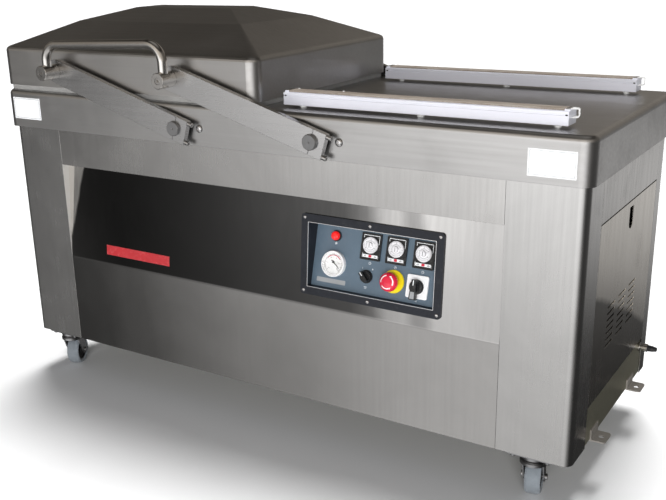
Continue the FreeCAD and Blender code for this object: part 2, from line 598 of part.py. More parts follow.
kn = rev([(0, -12), (4, -12), (4, 3.4), (12.2, 3.4), (12.2, 7.5), (11.4, 8.5), (0, 8.5)], (0, 0, 0), (0, -1, 0))
grip = prism([(-11.6, -8, -3.4), (-11.6, -8, 3.4), (11.6, -8, 4.2), (11.6, -8, -4.2)], (0, -9.5, 0))
kn = fuse([kn, grip])
kn.Placement = FreeCAD.Placement(V(SEL[0], 0, SEL[1]), FreeCAD.Rotation(V(0, 1, 0), -135))
put("selector_knob", on_plate(kn))

hd = rev([(0, -12), (4, -12), (4, 7.3), (13.4, 7.3), (13.4, 12.6), (12.4, 13.6), (0, 13.6)], (0, 0, 0), (0, -1, 0))
hg = prism([(-4.2, -13, 15.5), (4.2, -13, 15.5), (5.8, -13, -4), (7.2, -13, -25), (-7.2, -13, -25), (-5.8, -13, -4)], (0, -10, 0))
hd = fuse([hd, hg])
hd.Placement = FreeCAD.Placement(V(MAIN[0], 0, MAIN[1]), FreeCAD.Rotation())
put("switch_handle", on_plate(hd))

col = rev([(0, -42), (11, -42), (11, 0), (24, 0), (24, 2.2), (23, 3.2), (0, 3.2)], (STOP[0], 0, STOP[1]), (0, -1, 0))
col = col.cut(cyl(7.06, (STOP[0], -6, STOP[1]), (0, 1, 0), 36))
put("estop_collar", on_plate(col))
stem = rev([(0, -20), (7, -20), (7, 10), (12.5, 10), (12.5, 15.5), (6, 15.5), (6, 22), (0, 22)], (STOP[0], 0, STOP[1]), (0, -1, 0))
put("estop_stem", on_plate(stem))
head = rev([(6.06, 15.8), (15.0, 15.8), (19.3, 18.6), (19.8, 22), (19.0, 26.0), (16.6, 29.0), (12, 31.0), (6, 31.9), (0, 32.2), (0, 22.3), (6.06, 22.3)],
           (STOP[0], 0, STOP[1]), (0, -1, 0))
put("estop_head", on_plate(head))

# notice plates on the deck front and the blank plate on the front panel
n1 = box(-705, -0.5, 672, -613, 0, 724)
n2 = box(613, -0.5, 665, 701, 0, 714)
n3 = box(-449 - PANEL_X, -0.6, 352 - PANEL_Z, -249 - PANEL_X, 0, 376 - PANEL_Z)
put("notice_plates", group([n1, n2, on_panel(n3)]))

# ---------------------------------------------------------------------------
# casters
# ---------------------------------------------------------------------------
mounts = []
for key, (cx, cy, ang) in SWIVELS.items():
    m = fuse([box(cx - 45, cy - 30.5, CAB_Z0 - 3, cx + 45, cy + 30.5, CAB_Z0),
              rev([(0, -1), (22, -1), (26, 2), (26, 9), (23.5, 12), (0, 12)], (cx, cy, CAB_Z0 - 3 + 1), (0, 0, -1)),
              cyl(6.0, (cx, cy, 77.5), (0, 0, 1), 20)])
    for dx in (-35, 35):
        for dy in (-21, 21):
            m = fuse([m, rev([(0, 0), (6.5, 0), (6.5, 4.2), (5.8, 5), (0, 5)], (cx + dx, cy + dy, CAB_Z0 - 3), (0, 0, -1))])
    mounts.append(m)

    rot = FreeCAD.Placement(V(cx, cy, 0), FreeCAD.Rotation(V(0, 0, 1), ang))
    # fork in its own frame: axle along x, wheel trailing to +y
    crown = rev([(6.06, 0), (24, 0), (27, 2.2), (27, 8), (23, 10.6), (6.06, 10.6)], (0, 0, 79), (0, 0, 1))
    legs = []
    for sx in (-1, 1):
        xa = 18.5 if sx > 0 else -21.5
        f = prism([(xa, -16, 88), (xa, 20, 88), (xa, 36, 40), (xa, 30, 29), (xa, 18, 29), (xa, 11, 36), (xa, -10, 78)], (3, 0, 0))
        legs.append(f)
        cheek = box(min(sx * 14, sx * 21.5), -13, 79, max(sx * 14, sx * 21.5), 13, 84)
        legs.append(cheek)
    axle = cyl(4.0, (-25.5, TRAIL, WHEEL_R), (1, 0, 0), 51)
    nut1 = cyl(6.6, (21.5, TRAIL, WHEEL_R), (1, 0, 0), 4.2)
    nut2 = cyl(6.6, (-25.7, TRAIL, WHEEL_R), (1, 0, 0), 4.2)
    fork = fuse([crown] + legs + [axle, nut1, nut2])
    fork.Placement = rot.multiply(fork.Placement)
    put("caster_fork_%s" % key, fork)
    wr, ww = WHEEL_R, WHEEL_W / 2.0
    hub = rev([(4.06, -15.2), (11, -15.2), (12, -12), (23, -10), (24.5, -13.5), (27, -13.5), (27, 13.5), (24.5, 13.5), (23, 10), (12, 12), (11, 15.2), (4.06, 15.2)],
              (0, TRAIL, wr), (1, 0, 0))
    tyre = rev([(27, -13.5), (33, -ww), (35.4, -ww + 1.4), (36.9, -ww + 5), (wr, -ww + 9.5), (wr, ww - 9.5), (36.9, ww - 5), (35.4, ww - 1.4), (33, ww), (27, 13.5)],
               (0, TRAIL, wr), (1, 0, 0))
    wheel = group([hub, tyre])
    wheel.Placement = rot.multiply(wheel.Placement)
    put("caster_wheel_%s" % key, wheel)
put("caster_mounts", group(mounts))

# ---------------------------------------------------------------------------
# inlet fitting low on the right side
# ---------------------------------------------------------------------------
fit = rev([(0, -10), (5, -10), (5, 0), (11, 0), (11, 4), (6.2, 4), (6.2, 8), (9, 8), (9, 20), (7.6, 21.5), (5.2, 21.5), (5.2, 30), (0, 30)],
          (fx, INLET_Y, INLET_Z), (1, 0, 0))
tip = rev([(5.2, 21.5), (7.2, 21.5), (6.6, 31), (4.6, 40), (3.0, 41), (0, 41), (0, 30), (5.2, 30)], (fx, INLET_Y, INLET_Z), (1, 0, 0))
put("inlet_fitting", group([fit, tip]))

# ---------------------------------------------------------------------------
# inside the cabinet
# ---------------------------------------------------------------------------
zf = CAB_Z0 + 3.0
pump = fuse([box(-560, 170, zf + 18, -330, 400, zf + 190), cyl(62, (-560, 285, zf + 120), (1, 0, 0), 210),
             cyl(24, (-430, 285, zf + 180), (0, 0, 1), 70), box(-575, 150, zf, -315, 190, zf + 18), box(-575, 380, zf, -315, 420, zf + 18)])
put("vacuum_pump", pump)
ribs = [cyl(88, (-290 + 24 * i, 285, zf + 110), (1, 0, 0), 8) for i in range(8)]
motor = fuse([cyl(80, (-328, 285, zf + 110), (1, 0, 0), 240), box(-250, 245, zf + 180, -170, 325, zf + 225),
              box(-280, 205, zf, -130, 365, zf + 34)] + ribs)
put("pump_motor", motor)
mz = 600.0
man = [cyl(18, (-430, 285, zf + 251), (0, 0, 1), mz - zf - 251), cyl(18, (-430, 285, mz), (0, -1, 0), 105),
       cyl(18, (-430, 180, mz), (1, 0, 0), 860), Part.makeSphere(21, V(-430, 285, mz)), Part.makeSphere(21, V(-430, 180, mz))]
for sx in (-1, 1):
    man.append(cyl(18, (sx * 365, 180, mz), (0, 0, 1), zi - mz - 2))
    man.append(cyl(28, (sx * 365, 180, zi - 8), (0, 0, 1), 7.9))
    man.append(cyl(21.9, (sx * 365, 180, zi - 3), (0, 0, 1), 9.4))
man.append(cyl(30, (430, 180, mz - 30), (0, 0, 1), 60))
manifold = fuse(man)
for sx in (-1, 1):
    hs = []
    for i in range(6):
        a = math.radians(60 * i)
        hs.append(cyl(3.2, (sx * 365 + 11 * math.cos(a), 180 + 11 * math.sin(a), zi + 1), (0, 0, 1), 8))
    hs.append(cyl(3.2, (sx * 365, 180, zi + 1), (0, 0, 1), 8))
    manifold = manifold.cut(Part.makeCompound(hs))
put("vacuum_manifold", manifold)
case = box(450, 330, zf, 640, 530, zf + 300).cut(box(452, 332, zf + 2, 638, 528, zf + 298))
case = case.cut(box(500, 329, zf + 60, 520, 333, zf + 80))
core = fuse([box(480, 215, zf, 600, 315, zf + 20), box(490, 225, zf + 20, 590, 305, zf + 100)])
put("electrical_box", group([case, core]))

print("done")
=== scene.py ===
import bpy
import bmesh
import math
import json
from mathutils import Vector, Matrix, noise


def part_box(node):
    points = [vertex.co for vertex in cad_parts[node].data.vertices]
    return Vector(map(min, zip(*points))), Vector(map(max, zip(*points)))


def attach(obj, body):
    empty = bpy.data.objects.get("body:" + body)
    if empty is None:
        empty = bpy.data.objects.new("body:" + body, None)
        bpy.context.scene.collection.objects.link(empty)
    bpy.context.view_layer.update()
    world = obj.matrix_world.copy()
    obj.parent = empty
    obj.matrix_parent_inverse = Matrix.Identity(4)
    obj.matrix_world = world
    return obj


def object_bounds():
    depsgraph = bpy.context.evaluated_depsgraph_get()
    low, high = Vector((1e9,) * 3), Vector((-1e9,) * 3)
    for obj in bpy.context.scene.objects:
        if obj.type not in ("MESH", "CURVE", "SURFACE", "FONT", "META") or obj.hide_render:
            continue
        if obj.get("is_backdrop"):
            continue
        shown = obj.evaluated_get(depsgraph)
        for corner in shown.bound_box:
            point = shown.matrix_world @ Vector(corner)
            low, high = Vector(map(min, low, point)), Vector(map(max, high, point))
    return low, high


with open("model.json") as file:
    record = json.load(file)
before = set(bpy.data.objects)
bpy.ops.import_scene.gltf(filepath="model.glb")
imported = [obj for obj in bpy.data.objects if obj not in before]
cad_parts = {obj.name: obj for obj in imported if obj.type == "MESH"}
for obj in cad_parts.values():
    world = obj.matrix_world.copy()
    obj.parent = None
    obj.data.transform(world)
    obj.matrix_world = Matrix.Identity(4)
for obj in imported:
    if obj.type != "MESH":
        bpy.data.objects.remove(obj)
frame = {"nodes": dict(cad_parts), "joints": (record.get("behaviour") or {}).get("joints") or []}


def plain_bounds():
    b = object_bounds()
    try:
        return [[float(c) for c in p] for p in b]
    except TypeError:
        return {k: [float(c) for c in v] for k, v in dict(b).items()}


START = plain_bounds()
NODES = frame["nodes"]
JOINTS = {j["name"]: j for j in frame["joints"]}
BOXES = {n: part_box(n) for n in NODES}
DX = (BOXES["table_top"][0].x + BOXES["table_top"][1].x) / 2      # middle of the deck
X = Vector((1, 0, 0))
Y = Vector((0, 1, 0))
Z = Vector((0, 0, 1))

# ---------------------------------------------------------------- materials


class Mat:
    """Principled material with a few building helpers."""

    def __init__(self, name):
        self.m = bpy.data.materials.new(name)
        self.m.use_nodes = True
        self.t = self.m.node_tree
        self.t.nodes.clear()
        out = self.t.nodes.new("ShaderNodeOutputMaterial")
        self.b = self.t.nodes.new("ShaderNodeBsdfPrincipled")
        self.t.links.new(self.b.outputs[0], out.inputs[0])
        self.tc = self.t.nodes.new("ShaderNodeTexCoord")

    def set(self, key, value):
        self.b.inputs[key].default_value = value

    def link(self, a, b):
        self.t.links.new(a, b)

    def coords(self, scale=(1, 1, 1), rot=(0, 0, 0), loc=(0, 0, 0)):
        n = self.t.nodes.new("ShaderNodeMapping")
        n.inputs["Scale"].default_value = scale
        n.inputs["Rotation"].default_value = rot
        n.inputs["Location"].default_value = loc
        self.link(self.tc.outputs["Object"], n.inputs["Vector"])
        return n.outputs["Vector"]

    def noise(self, vec, scale, detail=4.0, rough=0.55, distort=0.0):
        n = self.t.nodes.new("ShaderNodeTexNoise")
        n.inputs["Scale"].default_value = scale
        n.inputs["Detail"].default_value = detail
        n.inputs["Roughness"].default_value = rough
        n.inputs["Distortion"].default_value = distort
        self.link(vec, n.inputs["Vector"])
        return n.outputs["Fac"]

    def voronoi(self, vec, scale, feature="F1"):
        n = self.t.nodes.new("ShaderNodeTexVoronoi")
        n.feature = feature
        n.inputs["Scale"].default_value = scale
        self.link(vec, n.inputs["Vector"])
        return n.outputs["Distance"]

    def rng(self, src, a, b, c, d, smooth=False):
        n = self.t.nodes.new("ShaderNodeMapRange")
        if smooth:
            n.interpolation_type = "SMOOTHSTEP"
        n.inputs["From Min"].default_value = a
        n.inputs["From Max"].default_value = b
        n.inputs["To Min"].default_value = c
        n.inputs["To Max"].default_value = d
        self.link(src, n.inputs["Value"])
        return n.outputs["Result"]

    def math(self, op, a, b=None, clamp=False):
        n = self.t.nodes.new("ShaderNodeMath")
        n.operation = op
        n.use_clamp = clamp
        for i, v in enumerate((a, b)):
            if v is None:
                continue
            if isinstance(v, (int, float)):
                n.inputs[i].default_value = v
            else:
                self.link(v, n.inputs[i])
        return n.outputs[0]

    def mix(self, fac, a, b, mode="MIX"):
        n = self.t.nodes.new("ShaderNodeMix")
        n.data_type = "RGBA"
        n.blend_type = mode
        for sock, v in ((n.inputs[0], fac), (n.inputs[6], a), (n.inputs[7], b)):
            if isinstance(v, (int, float)):
                sock.default_value = v
            elif isinstance(v, (tuple, list)):
                sock.default_value = (v[0], v[1], v[2], 1.0)
            else:
                self.link(v, sock)
        return n.outputs[2]

    def axis(self, i):
        n = self.t.nodes.new("ShaderNodeSeparateXYZ")
        self.link(self.tc.outputs["Object"], n.inputs[0])
        return n.outputs[i]

    def edge(self, radius=0.0012):
        """1 on sharp edges, 0 on flats."""
        bv = self.t.nodes.new("ShaderNodeBevel")
        bv.samples = 4
        bv.inputs["Radius"].default_value = radius
        g = self.t.nodes.new("ShaderNodeNewGeometry")
        d = self.t.nodes.new("ShaderNodeVectorMath")
        d.operation = "DOT_PRODUCT"
        self.link(bv.outputs[0], d.inputs[0])
        self.link(g.outputs["Normal"], d.inputs[1])
        return self.rng(d.outputs["Value"], 0.985, 0.80, 0.0, 1.0)

    def bump(self, src, strength, dist=0.0004, bevel=0.0):
        n = self.t.nodes.new("ShaderNodeBump")
        n.inputs["Strength"].default_value = strength
        n.inputs["Distance"].default_value = dist
        self.link(src, n.inputs["Height"])
        if bevel:
            bv = self.t.nodes.new("ShaderNodeBevel")
            bv.samples = 4
            bv.inputs["Radius"].default_value = bevel
            self.link(bv.outputs[0], n.inputs["Normal"])
        self.link(n.outputs[0], self.b.inputs["Normal"])


def blend(k, w):
    """Weighted sum of the three coordinates, for bands that run at a slant."""
    out = None
    for i, v in enumerate(w):
        if v:
            q = k.math("MULTIPLY", k.axis(i), v)
            out = q if out is None else k.math("ADD", out, q)
    return out


def steel(name, col, rough=0.3, grain=(3.0, 90.0, 90.0), var=0.16, fine=0.14, bump=0.012, rvar=0.06,
          bevel=0.0006, wear=0.35, smudge=0.10, painted_light_shade_ramps=None, rot=(0, 0, 0), metal=1.0, painted_highlight_patch=None):
    """Brushed sheet: long fine grain, cloudy handling marks, brighter rubbed edges; optional painted reflections and
    shade laid on as position ramps, and an optional painted highlight patch.
    """
    k = Mat(name)
    k.set("Metallic", metal)
    g = k.noise(k.coords(grain, rot), 2.0, 3.0, 0.55)
    g2 = k.noise(k.coords((grain[0] * 0.30, grain[1] * 0.30, grain[2] * 0.30), rot), 1.3, 2.0, 0.5)
    cloud = k.noise(k.coords((1, 1, 1), loc=(3.1, 1.7, 0.4)), 3.2, 5.0, 0.6, 0.6)
    spots = k.noise(k.coords((1, 1, 1), loc=(7.7, 2.1, 5.4)), 11.0, 3.0, 0.6)
    dark = tuple(c * (1 - var) for c in col)
    lite = tuple(min(1.0, c * (1 + var)) for c in col)
    c = k.mix(k.rng(cloud, 0.30, 0.70, 0.0, 1.0), dark, lite)
    c = k.mix(k.rng(g, 0.30, 0.72, 0.0, fine), c, tuple(v * 0.45 for v in col))
    c = k.mix(k.rng(g2, 0.55, 0.80, 0.0, fine), c, lite)
    c = k.mix(k.rng(spots, 0.60, 0.80, 0.0, smudge), c, tuple(v * 0.7 for v in col))
    # painted reflections and shade: each ramp multiplies the colour by a grey level set by position on the part
    for axis, stops, zone in (painted_light_shade_ramps or ()):
        n = k.t.nodes.new("ShaderNodeValToRGB")
        lo, hi = stops[0][0], stops[-1][0]
        cr = n.color_ramp
        cr.elements[0].position = 0.0
        cr.elements[1].position = 1.0
        while len(cr.elements) < len(stops):
            cr.elements.new(0.5)
        for e, (p, v) in zip(cr.elements, stops):
            e.position = (p - lo) / (hi - lo)
            e.color = (v, v, v, 1)
        warp = k.axis(axis) if isinstance(axis, int) else blend(k, axis)
        warp = k.math("ADD", warp, k.rng(cloud, 0.3, 0.7, -0.012, 0.012))
        warp = k.math("ADD", warp, k.math("MULTIPLY", k.math("SUBTRACT", k.axis(2), 0.45), 0.10))
        k.link(k.rng(warp, lo, hi, 0.0, 1.0), n.inputs[0])
        f = 1.0 if zone is None else k.rng(k.axis(2), zone[0], zone[1], 0.0, 1.0, True)
        c = k.mix(f, c, k.mix(1.0, c, n.outputs[0], "MULTIPLY"))
    # painted highlight: a flat light colour laid on a thin slanted strip
    if painted_highlight_patch:
        weights, p0, p1, zone, highlight_col = painted_highlight_patch
        f = k.math("MULTIPLY", k.rng(k.math("ADD", blend(k, weights), k.rng(cloud, 0.3, 0.7, -0.004, 0.004)), p0, p1, 0.0, 1.0),
                   k.rng(k.axis(2), zone[0], zone[1], 0.0, 1.0))
        c = k.mix(f, c, highlight_col)
    e = k.edge(bevel)
    c = k.mix(k.math("MULTIPLY", e, wear), c, (0.85, 0.84, 0.82))
    k.link(c, k.b.inputs["Base Color"])
    r = k.math("ADD", k.rng(g, 0.3, 0.7, rough - rvar * 0.5, rough + rvar * 0.5), k.rng(spots, 0.5, 0.8, 0.0, rvar))
    r = k.math("ADD", r, k.rng(cloud, 0.35, 0.7, -rvar * 0.4, rvar * 0.4), True)
    k.link(r, k.b.inputs["Roughness"])
    k.bump(g, bump, 0.00025, bevel)
    return k.m


def plastic(name, col, rough=0.4, var=0.10, grain=900.0, bump=0.08, bevel=0.0006, wear=0.12, worn=None, coat=0.0, dust=0.10, spec=0.5):
    """Moulded plastic or paint: fine texture, faint dust, lighter rubbed edges."""
    k = Mat(name)
    k.set("Metallic", 0.0)
    k.set("Specular IOR Level", spec)
    k.set("Coat Weight", coat)
    k.set("Coat Roughness", 0.12)
    cloud = k.noise(k.coords(loc=(1.3, 4.1, 2.2)), 14.0, 4.0, 0.6)
    fine = k.noise(k.coords(), grain, 2.0, 0.5)
    d = k.noise(k.coords(loc=(8.3, 0.1, 6.2)), 120.0, 5.0, 0.7)
    c = k.mix(k.rng(cloud, 0.3, 0.7, 0.0, 1.0), tuple(v * (1 - var) for v in col), tuple(min(1, v * (1 + var)) for v in col))
    c = k.mix(k.rng(d, 0.55, 0.8, 0.0, dust), c, (0.55, 0.53, 0.50))
    worn = worn or tuple(min(1.0, v * 0.6 + 0.30) for v in col)
    c = k.mix(k.math("MULTIPLY", k.edge(bevel), wear), c, worn)
    k.link(c, k.b.inputs["Base Color"])
    k.link(k.math("ADD", k.rng(fine, 0.3, 0.7, rough - 0.05, rough + 0.05), k.rng(d, 0.5, 0.8, 0.0, 0.10)), k.b.inputs["Roughness"])
    k.bump(fine, bump, 0.00012, bevel)
    return k.m


def rubber(name, col, rough=0.75, dirt=0.25):
    k = Mat(name)
    k.set("Metallic", 0.0)
    k.set("Sheen Weight", 0.12)
    a = k.noise(k.coords(), 60.0, 5.0, 0.7)
    f = k.noise(k.coords(loc=(2, 2, 2)), 1400.0, 2.0, 0.5)
    c = k.mix(k.rng(a, 0.35, 0.75, 0.0, dirt), col, tuple(v * 0.45 + 0.02 for v in col))
    c = k.mix(k.math("MULTIPLY", k.edge(0.001), 0.25), c, tuple(min(1, v * 1.5) for v in col))
    k.link(c, k.b.inputs["Base Color"])
    k.link(k.rng(a, 0.3, 0.7, rough - 0.1, rough + 0.1), k.b.inputs["Roughness"])
    k.bump(f, 0.25, 0.0002, 0.0008)
    return k.m


M = {}
DXZ = 0.329     # height of the bend in the front sheet
M["deck"] = steel("deck_sheet", (0.60, 0.60, 0.60), 0.33, (2.0, 80.0, 80.0), bevel=0.0008, fine=0.10, var=0.07)
M["cab"] = steel("cabinet_sheet", (0.60, 0.60, 0.598), 0.24, (80.0, 80.0, 2.0), var=0.08, fine=0.10)
M["cabx"] = steel("rail_sheet", (0.60, 0.597, 0.592), 0.24, (80.0, 80.0, 2.0), var=0.08, fine=0.10)
# painted reflections on the front sheet: above the bend the colour is darkened strongly on the left and much less in
# streaks toward the right; below the bend it is darkened toward the left; a painted highlight strip sits at the far
# left end just above the bend
M["panel"] = steel("front_sheet", (0.57, 0.567, 0.562), 0.15, (70.0, 70.0, 1.5), var=0.06, fine=0.08, rvar=0.05, painted_light_shade_ramps=(
    (0, ((-0.62, 0.24), (-0.575, 0.15), (-0.50, 0.09), (-0.42, 0.06), (-0.30, 0.065), (-0.12, 0.085), (0.02, 0.11), (0.225, 0.14), (0.275, 0.28), (0.31, 0.66), (0.345, 0.76), (0.37, 0.50), (0.39, 0.53), (0.412, 0.88), (0.47, 0.82), (0.52, 0.72), (0.62, 0.66)), (DXZ - 0.004, DXZ + 0.004)),
    (0, ((-0.62, 0.30), (-0.55, 0.36), (-0.50, 0.38), (-0.44, 0.52), (-0.36, 0.55), (-0.28, 0.72), (-0.18, 0.82), (-0.08, 0.94), (0.2, 1.0), (0.62, 1.0)), (DXZ + 0.004, DXZ - 0.004))),
    painted_highlight_patch=((1.0, 0.0, -0.30), -0.687, -0.693, (0.33, 0.37), (0.93, 0.91, 0.88)))
# painted shade on the side sheets: darker below a slanted line across the middle of the sheet, darkest just under the
# line; above it, slightly darker toward the top
M["side"] = steel("side_sheet", (0.90, 0.865, 0.81), 0.24, (80.0, 80.0, 2.0), var=0.05, fine=0.08, painted_light_shade_ramps=(
    ((0.0, 0.5, 1.0), ((0.05, 0.53), (0.20, 0.50), (0.27, 0.33), (0.320, 0.20), (0.336, 1.0), (0.42, 1.0), (0.47, 0.92), (0.56, 0.84), (0.75, 0.78)), None),))
M["base"] = steel("base_sheet", (0.245, 0.235, 0.175), 0.40, (2.0, 80.0, 80.0), var=0.12, fine=0.08, metal=0.75)
# painted reflection: a lighter, nearly non-metallic copy of the sheet, so the faces that should reflect the bright
# side show bright
M["jamb_painted_reflection"] = steel("folded_return_painted_reflection", (0.66, 0.64, 0.61), 0.42, (80.0, 80.0, 2.0), var=0.06, fine=0.08, metal=0.15)
M["lid"] = steel("lid_sheet", (0.575, 0.57, 0.563), 0.36, (2.0, 70.0, 70.0), var=0.07, fine=0.08, rvar=0.08, bevel=0.0, wear=0.0)
M["arm"] = steel("arm_plate", (0.64, 0.64, 0.645), 0.27, (2.5, 80.0, 80.0), bevel=0.0010, wear=0.4, var=0.06, fine=0.08, rot=(0, math.radians(-16.8), 0))
M["shaft"] = steel("shaft_turned", (0.36, 0.365, 0.375), 0.45, (50.0, 50.0, 50.0), var=0.12, bevel=0.0008, wear=0.5)
M["tube"] = steel("handle_tube", (0.68, 0.665, 0.645), 0.22, (6.0, 60.0, 60.0), var=0.05, fine=0.05, bevel=0.0008, bump=0.015)
M["bolt"] = steel("fastener", (0.70, 0.70, 0.71), 0.20, (60.0, 60.0, 60.0), bevel=0.0006, var=0.06, fine=0.05, bump=0.01)
M["bar"] = steel("bar_extrusion", (0.84, 0.845, 0.92), 0.34, (1.0, 90.0, 90.0), var=0.03, fine=0.05, bump=0.01, wear=0.4, smudge=0.04, bevel=0.0006, metal=0.30)
M["tab"] = steel("tab_plate", (0.37, 0.345, 0.315), 0.42, (30.0, 30.0, 30.0), var=0.20, metal=0.55)
M["zinc"] = steel("zinc_plating", (0.40, 0.405, 0.42), 0.28, (25.0, 25.0, 25.0), var=0.20, smudge=0.3, bevel=0.0008)
M["nickel"] = steel("nickel_plating", (0.74, 0.73, 0.71), 0.16, (20.0, 20.0, 20.0), var=0.10, bevel=0.0006)
M["cyl"] = steel("cylinder_body", (0.62, 0.62, 0.64), 0.35, (50.0, 50.0, 50.0))
M["bezel"] = plastic("bezel_moulding", (0.012, 0.014, 0.020), 0.38, 0.15, 1300.0, 0.15, wear=0.25, worn=(0.10, 0.11, 0.13), dust=0.05, spec=0.35)
M["plate"] = plastic("control_film", (0.105, 0.150, 0.195), 0.34, 0.07, 700.0, 0.04, wear=0.1, dust=0.06)
M["black"] = plastic("black_moulding", (0.010, 0.0105, 0.012), 0.30, 0.15, 1500.0, 0.10, wear=0.35, worn=(0.16, 0.16, 0.17), dust=0.14)
M["white"] = plastic("white_moulding", (0.93, 0.93, 0.935), 0.33, 0.02, 1200.0, 0.03, dust=0.03)
M["film"] = plastic("plate_film", (0.88, 0.89, 0.90), 0.36, 0.03, 500.0, 0.03, dust=0.06)
M["dialw"] = plastic("dial_white", (0.78, 0.77, 0.79), 0.22, 0.06, 900.0, 0.05, coat=0.4, dust=0.05)
M["mark"] = plastic("mark_white", (0.92, 0.94, 0.96), 0.45, 0.05, dust=0.05, bevel=0.0002)
M["markd"] = plastic("mark_black", (0.03, 0.03, 0.035), 0.45, 0.10, dust=0.05, bevel=0.0002)
M["markr"] = plastic("mark_red", (0.62, 0.03, 0.06), 0.45, 0.08, dust=0.05, bevel=0.0002)
M["border"] = plastic("mark_grey", (0.34, 0.35, 0.36), 0.45, 0.08, dust=0.05, bevel=0.0002)
# painted highlight: light grey used only for the patch low on the main switch handle
M["grip"] = plastic("switch_painted_highlight_mat", (0.30, 0.31, 0.32), 0.35, 0.1, dust=0.1, bevel=0.0002)
M["red"] = plastic("mushroom_red", (0.66, 0.012, 0.045), 0.20, 0.08, 800.0, 0.03, wear=0.15, worn=(0.8, 0.2, 0.2), coat=0.5, dust=0.04)
M["yellow"] = plastic("collar_yellow", (0.86, 0.70, 0.015), 0.26, 0.05, 800.0, 0.04, wear=0.1, coat=0.3, dust=0.04)
M["enamel"] = plastic("enamel_red", (0.52, 0.022, 0.03), 0.24, 0.08, 600.0, 0.04, wear=0.3, worn=(0.5, 0.4, 0.38), coat=0.5)
M["silicone"] = rubber("silicone_strip", (0.30, 0.295, 0.285), 0.6, 0.25)
M["padrub"] = rubber("silicone_red_brown", (0.42, 0.16, 0.11), 0.6, 0.2)
M["tyre"] = rubber("tyre_grey", (0.27, 0.30, 0.33), 0.62, 0.35)
M["hose"] = rubber("hose_black", (0.03, 0.03, 0.03), 0.6, 0.3)
M["nylon"] = plastic("nylon_white", (0.82, 0.82, 0.80), 0.40, 0.04, 900.0, 0.05)
M["iron"] = plastic("pump_enamel", (0.06, 0.10, 0.14), 0.5, 0.2, 220.0, 0.35, wear=0.3)
M["motor"] = plastic("motor_enamel", (0.09, 0.12, 0.15), 0.45, 0.2, 220.0, 0.3, wear=0.3)
M["boxgrey"] = plastic("powder_grey", (0.42, 0.44, 0.44), 0.5, 0.08, 500.0, 0.30, wear=0.2)

# clear red lens, lit a little from behind
k = Mat("lamp_lens")
k.set("Metallic", 0.0)
k.set("Coat Weight", 0.6)
k.set("Emission Strength", 0.55)
k.set("Emission Color", (0.95, 0.02, 0.02, 1.0))
v = k.voronoi(k.coords(), 420.0)
k.link(k.mix(k.rng(v, 0.0, 0.7, 0.0, 1.0), (0.85, 0.03, 0.03), (0.45, 0.0, 0.0)), k.b.inputs["Base Color"])
k.link(k.rng(k.noise(k.coords(), 500.0), 0.3, 0.7, 0.12, 0.24), k.b.inputs["Roughness"])
k.bump(v, 0.3, 0.0004)
M["lens"] = k.m

# gauge window
k = Mat("gauge_window")
k.set("Metallic", 0.0)
k.set("Transmission Weight", 1.0)
k.set("IOR", 1.12)
gn = k.noise(k.coords(), 60.0, 4.0, 0.6)
k.link(k.rng(gn, 0.35, 0.75, 0.0, 0.08), k.b.inputs["Roughness"])
k.link(k.mix(k.rng(gn, 0.4, 0.8, 0.0, 1.0), (1.0, 1.0, 1.0), (0.95, 0.97, 0.97)), k.b.inputs["Base Color"])
k.bump(gn, 0.02, 0.0002)
M["glass"] = k.m

# woven glass-cloth tape over the heating wires
k = Mat("release_tape")
k.set("Metallic", 0.0)
k.set("Coat Weight", 0.35)
k.set("Coat Roughness", 0.25)
wa = k.noise(k.coords((900.0, 40.0, 40.0)), 1.0, 2.0)
wb = k.noise(k.coords((40.0, 900.0, 40.0)), 1.0, 2.0)
stain = k.noise(k.coords((3.0, 22.0, 1.0)), 4.0, 5.0, 0.65)
c = k.mix(k.rng(stain, 0.32, 0.70, 0.0, 1.0), (0.37, 0.325, 0.28), (0.15, 0.11, 0.08))
c = k.mix(k.rng(k.math("MULTIPLY", wa, wb), 0.15, 0.40, 0.0, 0.35), c, (0.50, 0.46, 0.40))
k.link(c, k.b.inputs["Base Color"])
k.link(k.rng(stain, 0.3, 0.7, 0.28, 0.45), k.b.inputs["Roughness"])
k.bump(k.math("ADD", wa, wb), 0.25, 0.00025)
M["tape"] = k.m

# --------------------------------------------------- finishes on CAD nodes


def give(node, *mats):
    o = NODES[node]
    o.data.materials.clear()
    for m in mats:
        o.data.materials.append(M[m])
    return o


def split(node, mats, pick):
    """Different finishes on one part: pick(centre, normal) gives the index of the finish."""
    o = give(node, *mats)
    for p in o.data.polygons:
        p.material_index = pick(p.center, p.normal)


for n in ("table_top",):
    give(n, "deck")
for n in ("front_post_left", "front_post_right", "rear_posts", "back_panel"):
    give(n, "cab")
give("base_frame", "base")
# the +x faces of the left front post get the painted-reflection copy of the sheet
split("front_post_left", ("cab", "jamb_painted_reflection"), lambda c, n: 1 if n.x > 0.7 else 0)
give("top_rails", "cabx")
give("front_panel", "panel")
give("side_panel_left", "side")
give("side_panel_right", "side")
give("lid_shell", "lid")
give("lid_gasket", "silicone")
give("lid_bosses", "tube")
give("lid_handle", "tube")
give("anchor_tabs", "tab")
give("lift_cylinders", "cyl")
give("vacuum_pump", "iron")
give("pump_motor", "motor")
give("vacuum_manifold", "hose")
give("electrical_box", "boxgrey")
give("caster_mounts", "zinc")
give("control_plate", "plate")
give("gauge_needle", "black")
give("timer_bodies", "black")
give("selector_knob", "black")
give("switch_handle", "black")
give("estop_collar", "yellow")
give("estop_stem", "red")
give("estop_head", "red")
for i in (1, 2, 3):
    give("timer_dial_%d" % i, "dialw")
for n in ("shaft_left", "shaft_right"):
    give(n, "shaft")
for a in ("left", "right"):
    give("arm_%s_front" % a, "arm")
    give("arm_%s_rear" % a, "arm")
for c in ("fl", "fr", "rl", "rr"):
    give("caster_fork_" + c, "zinc")

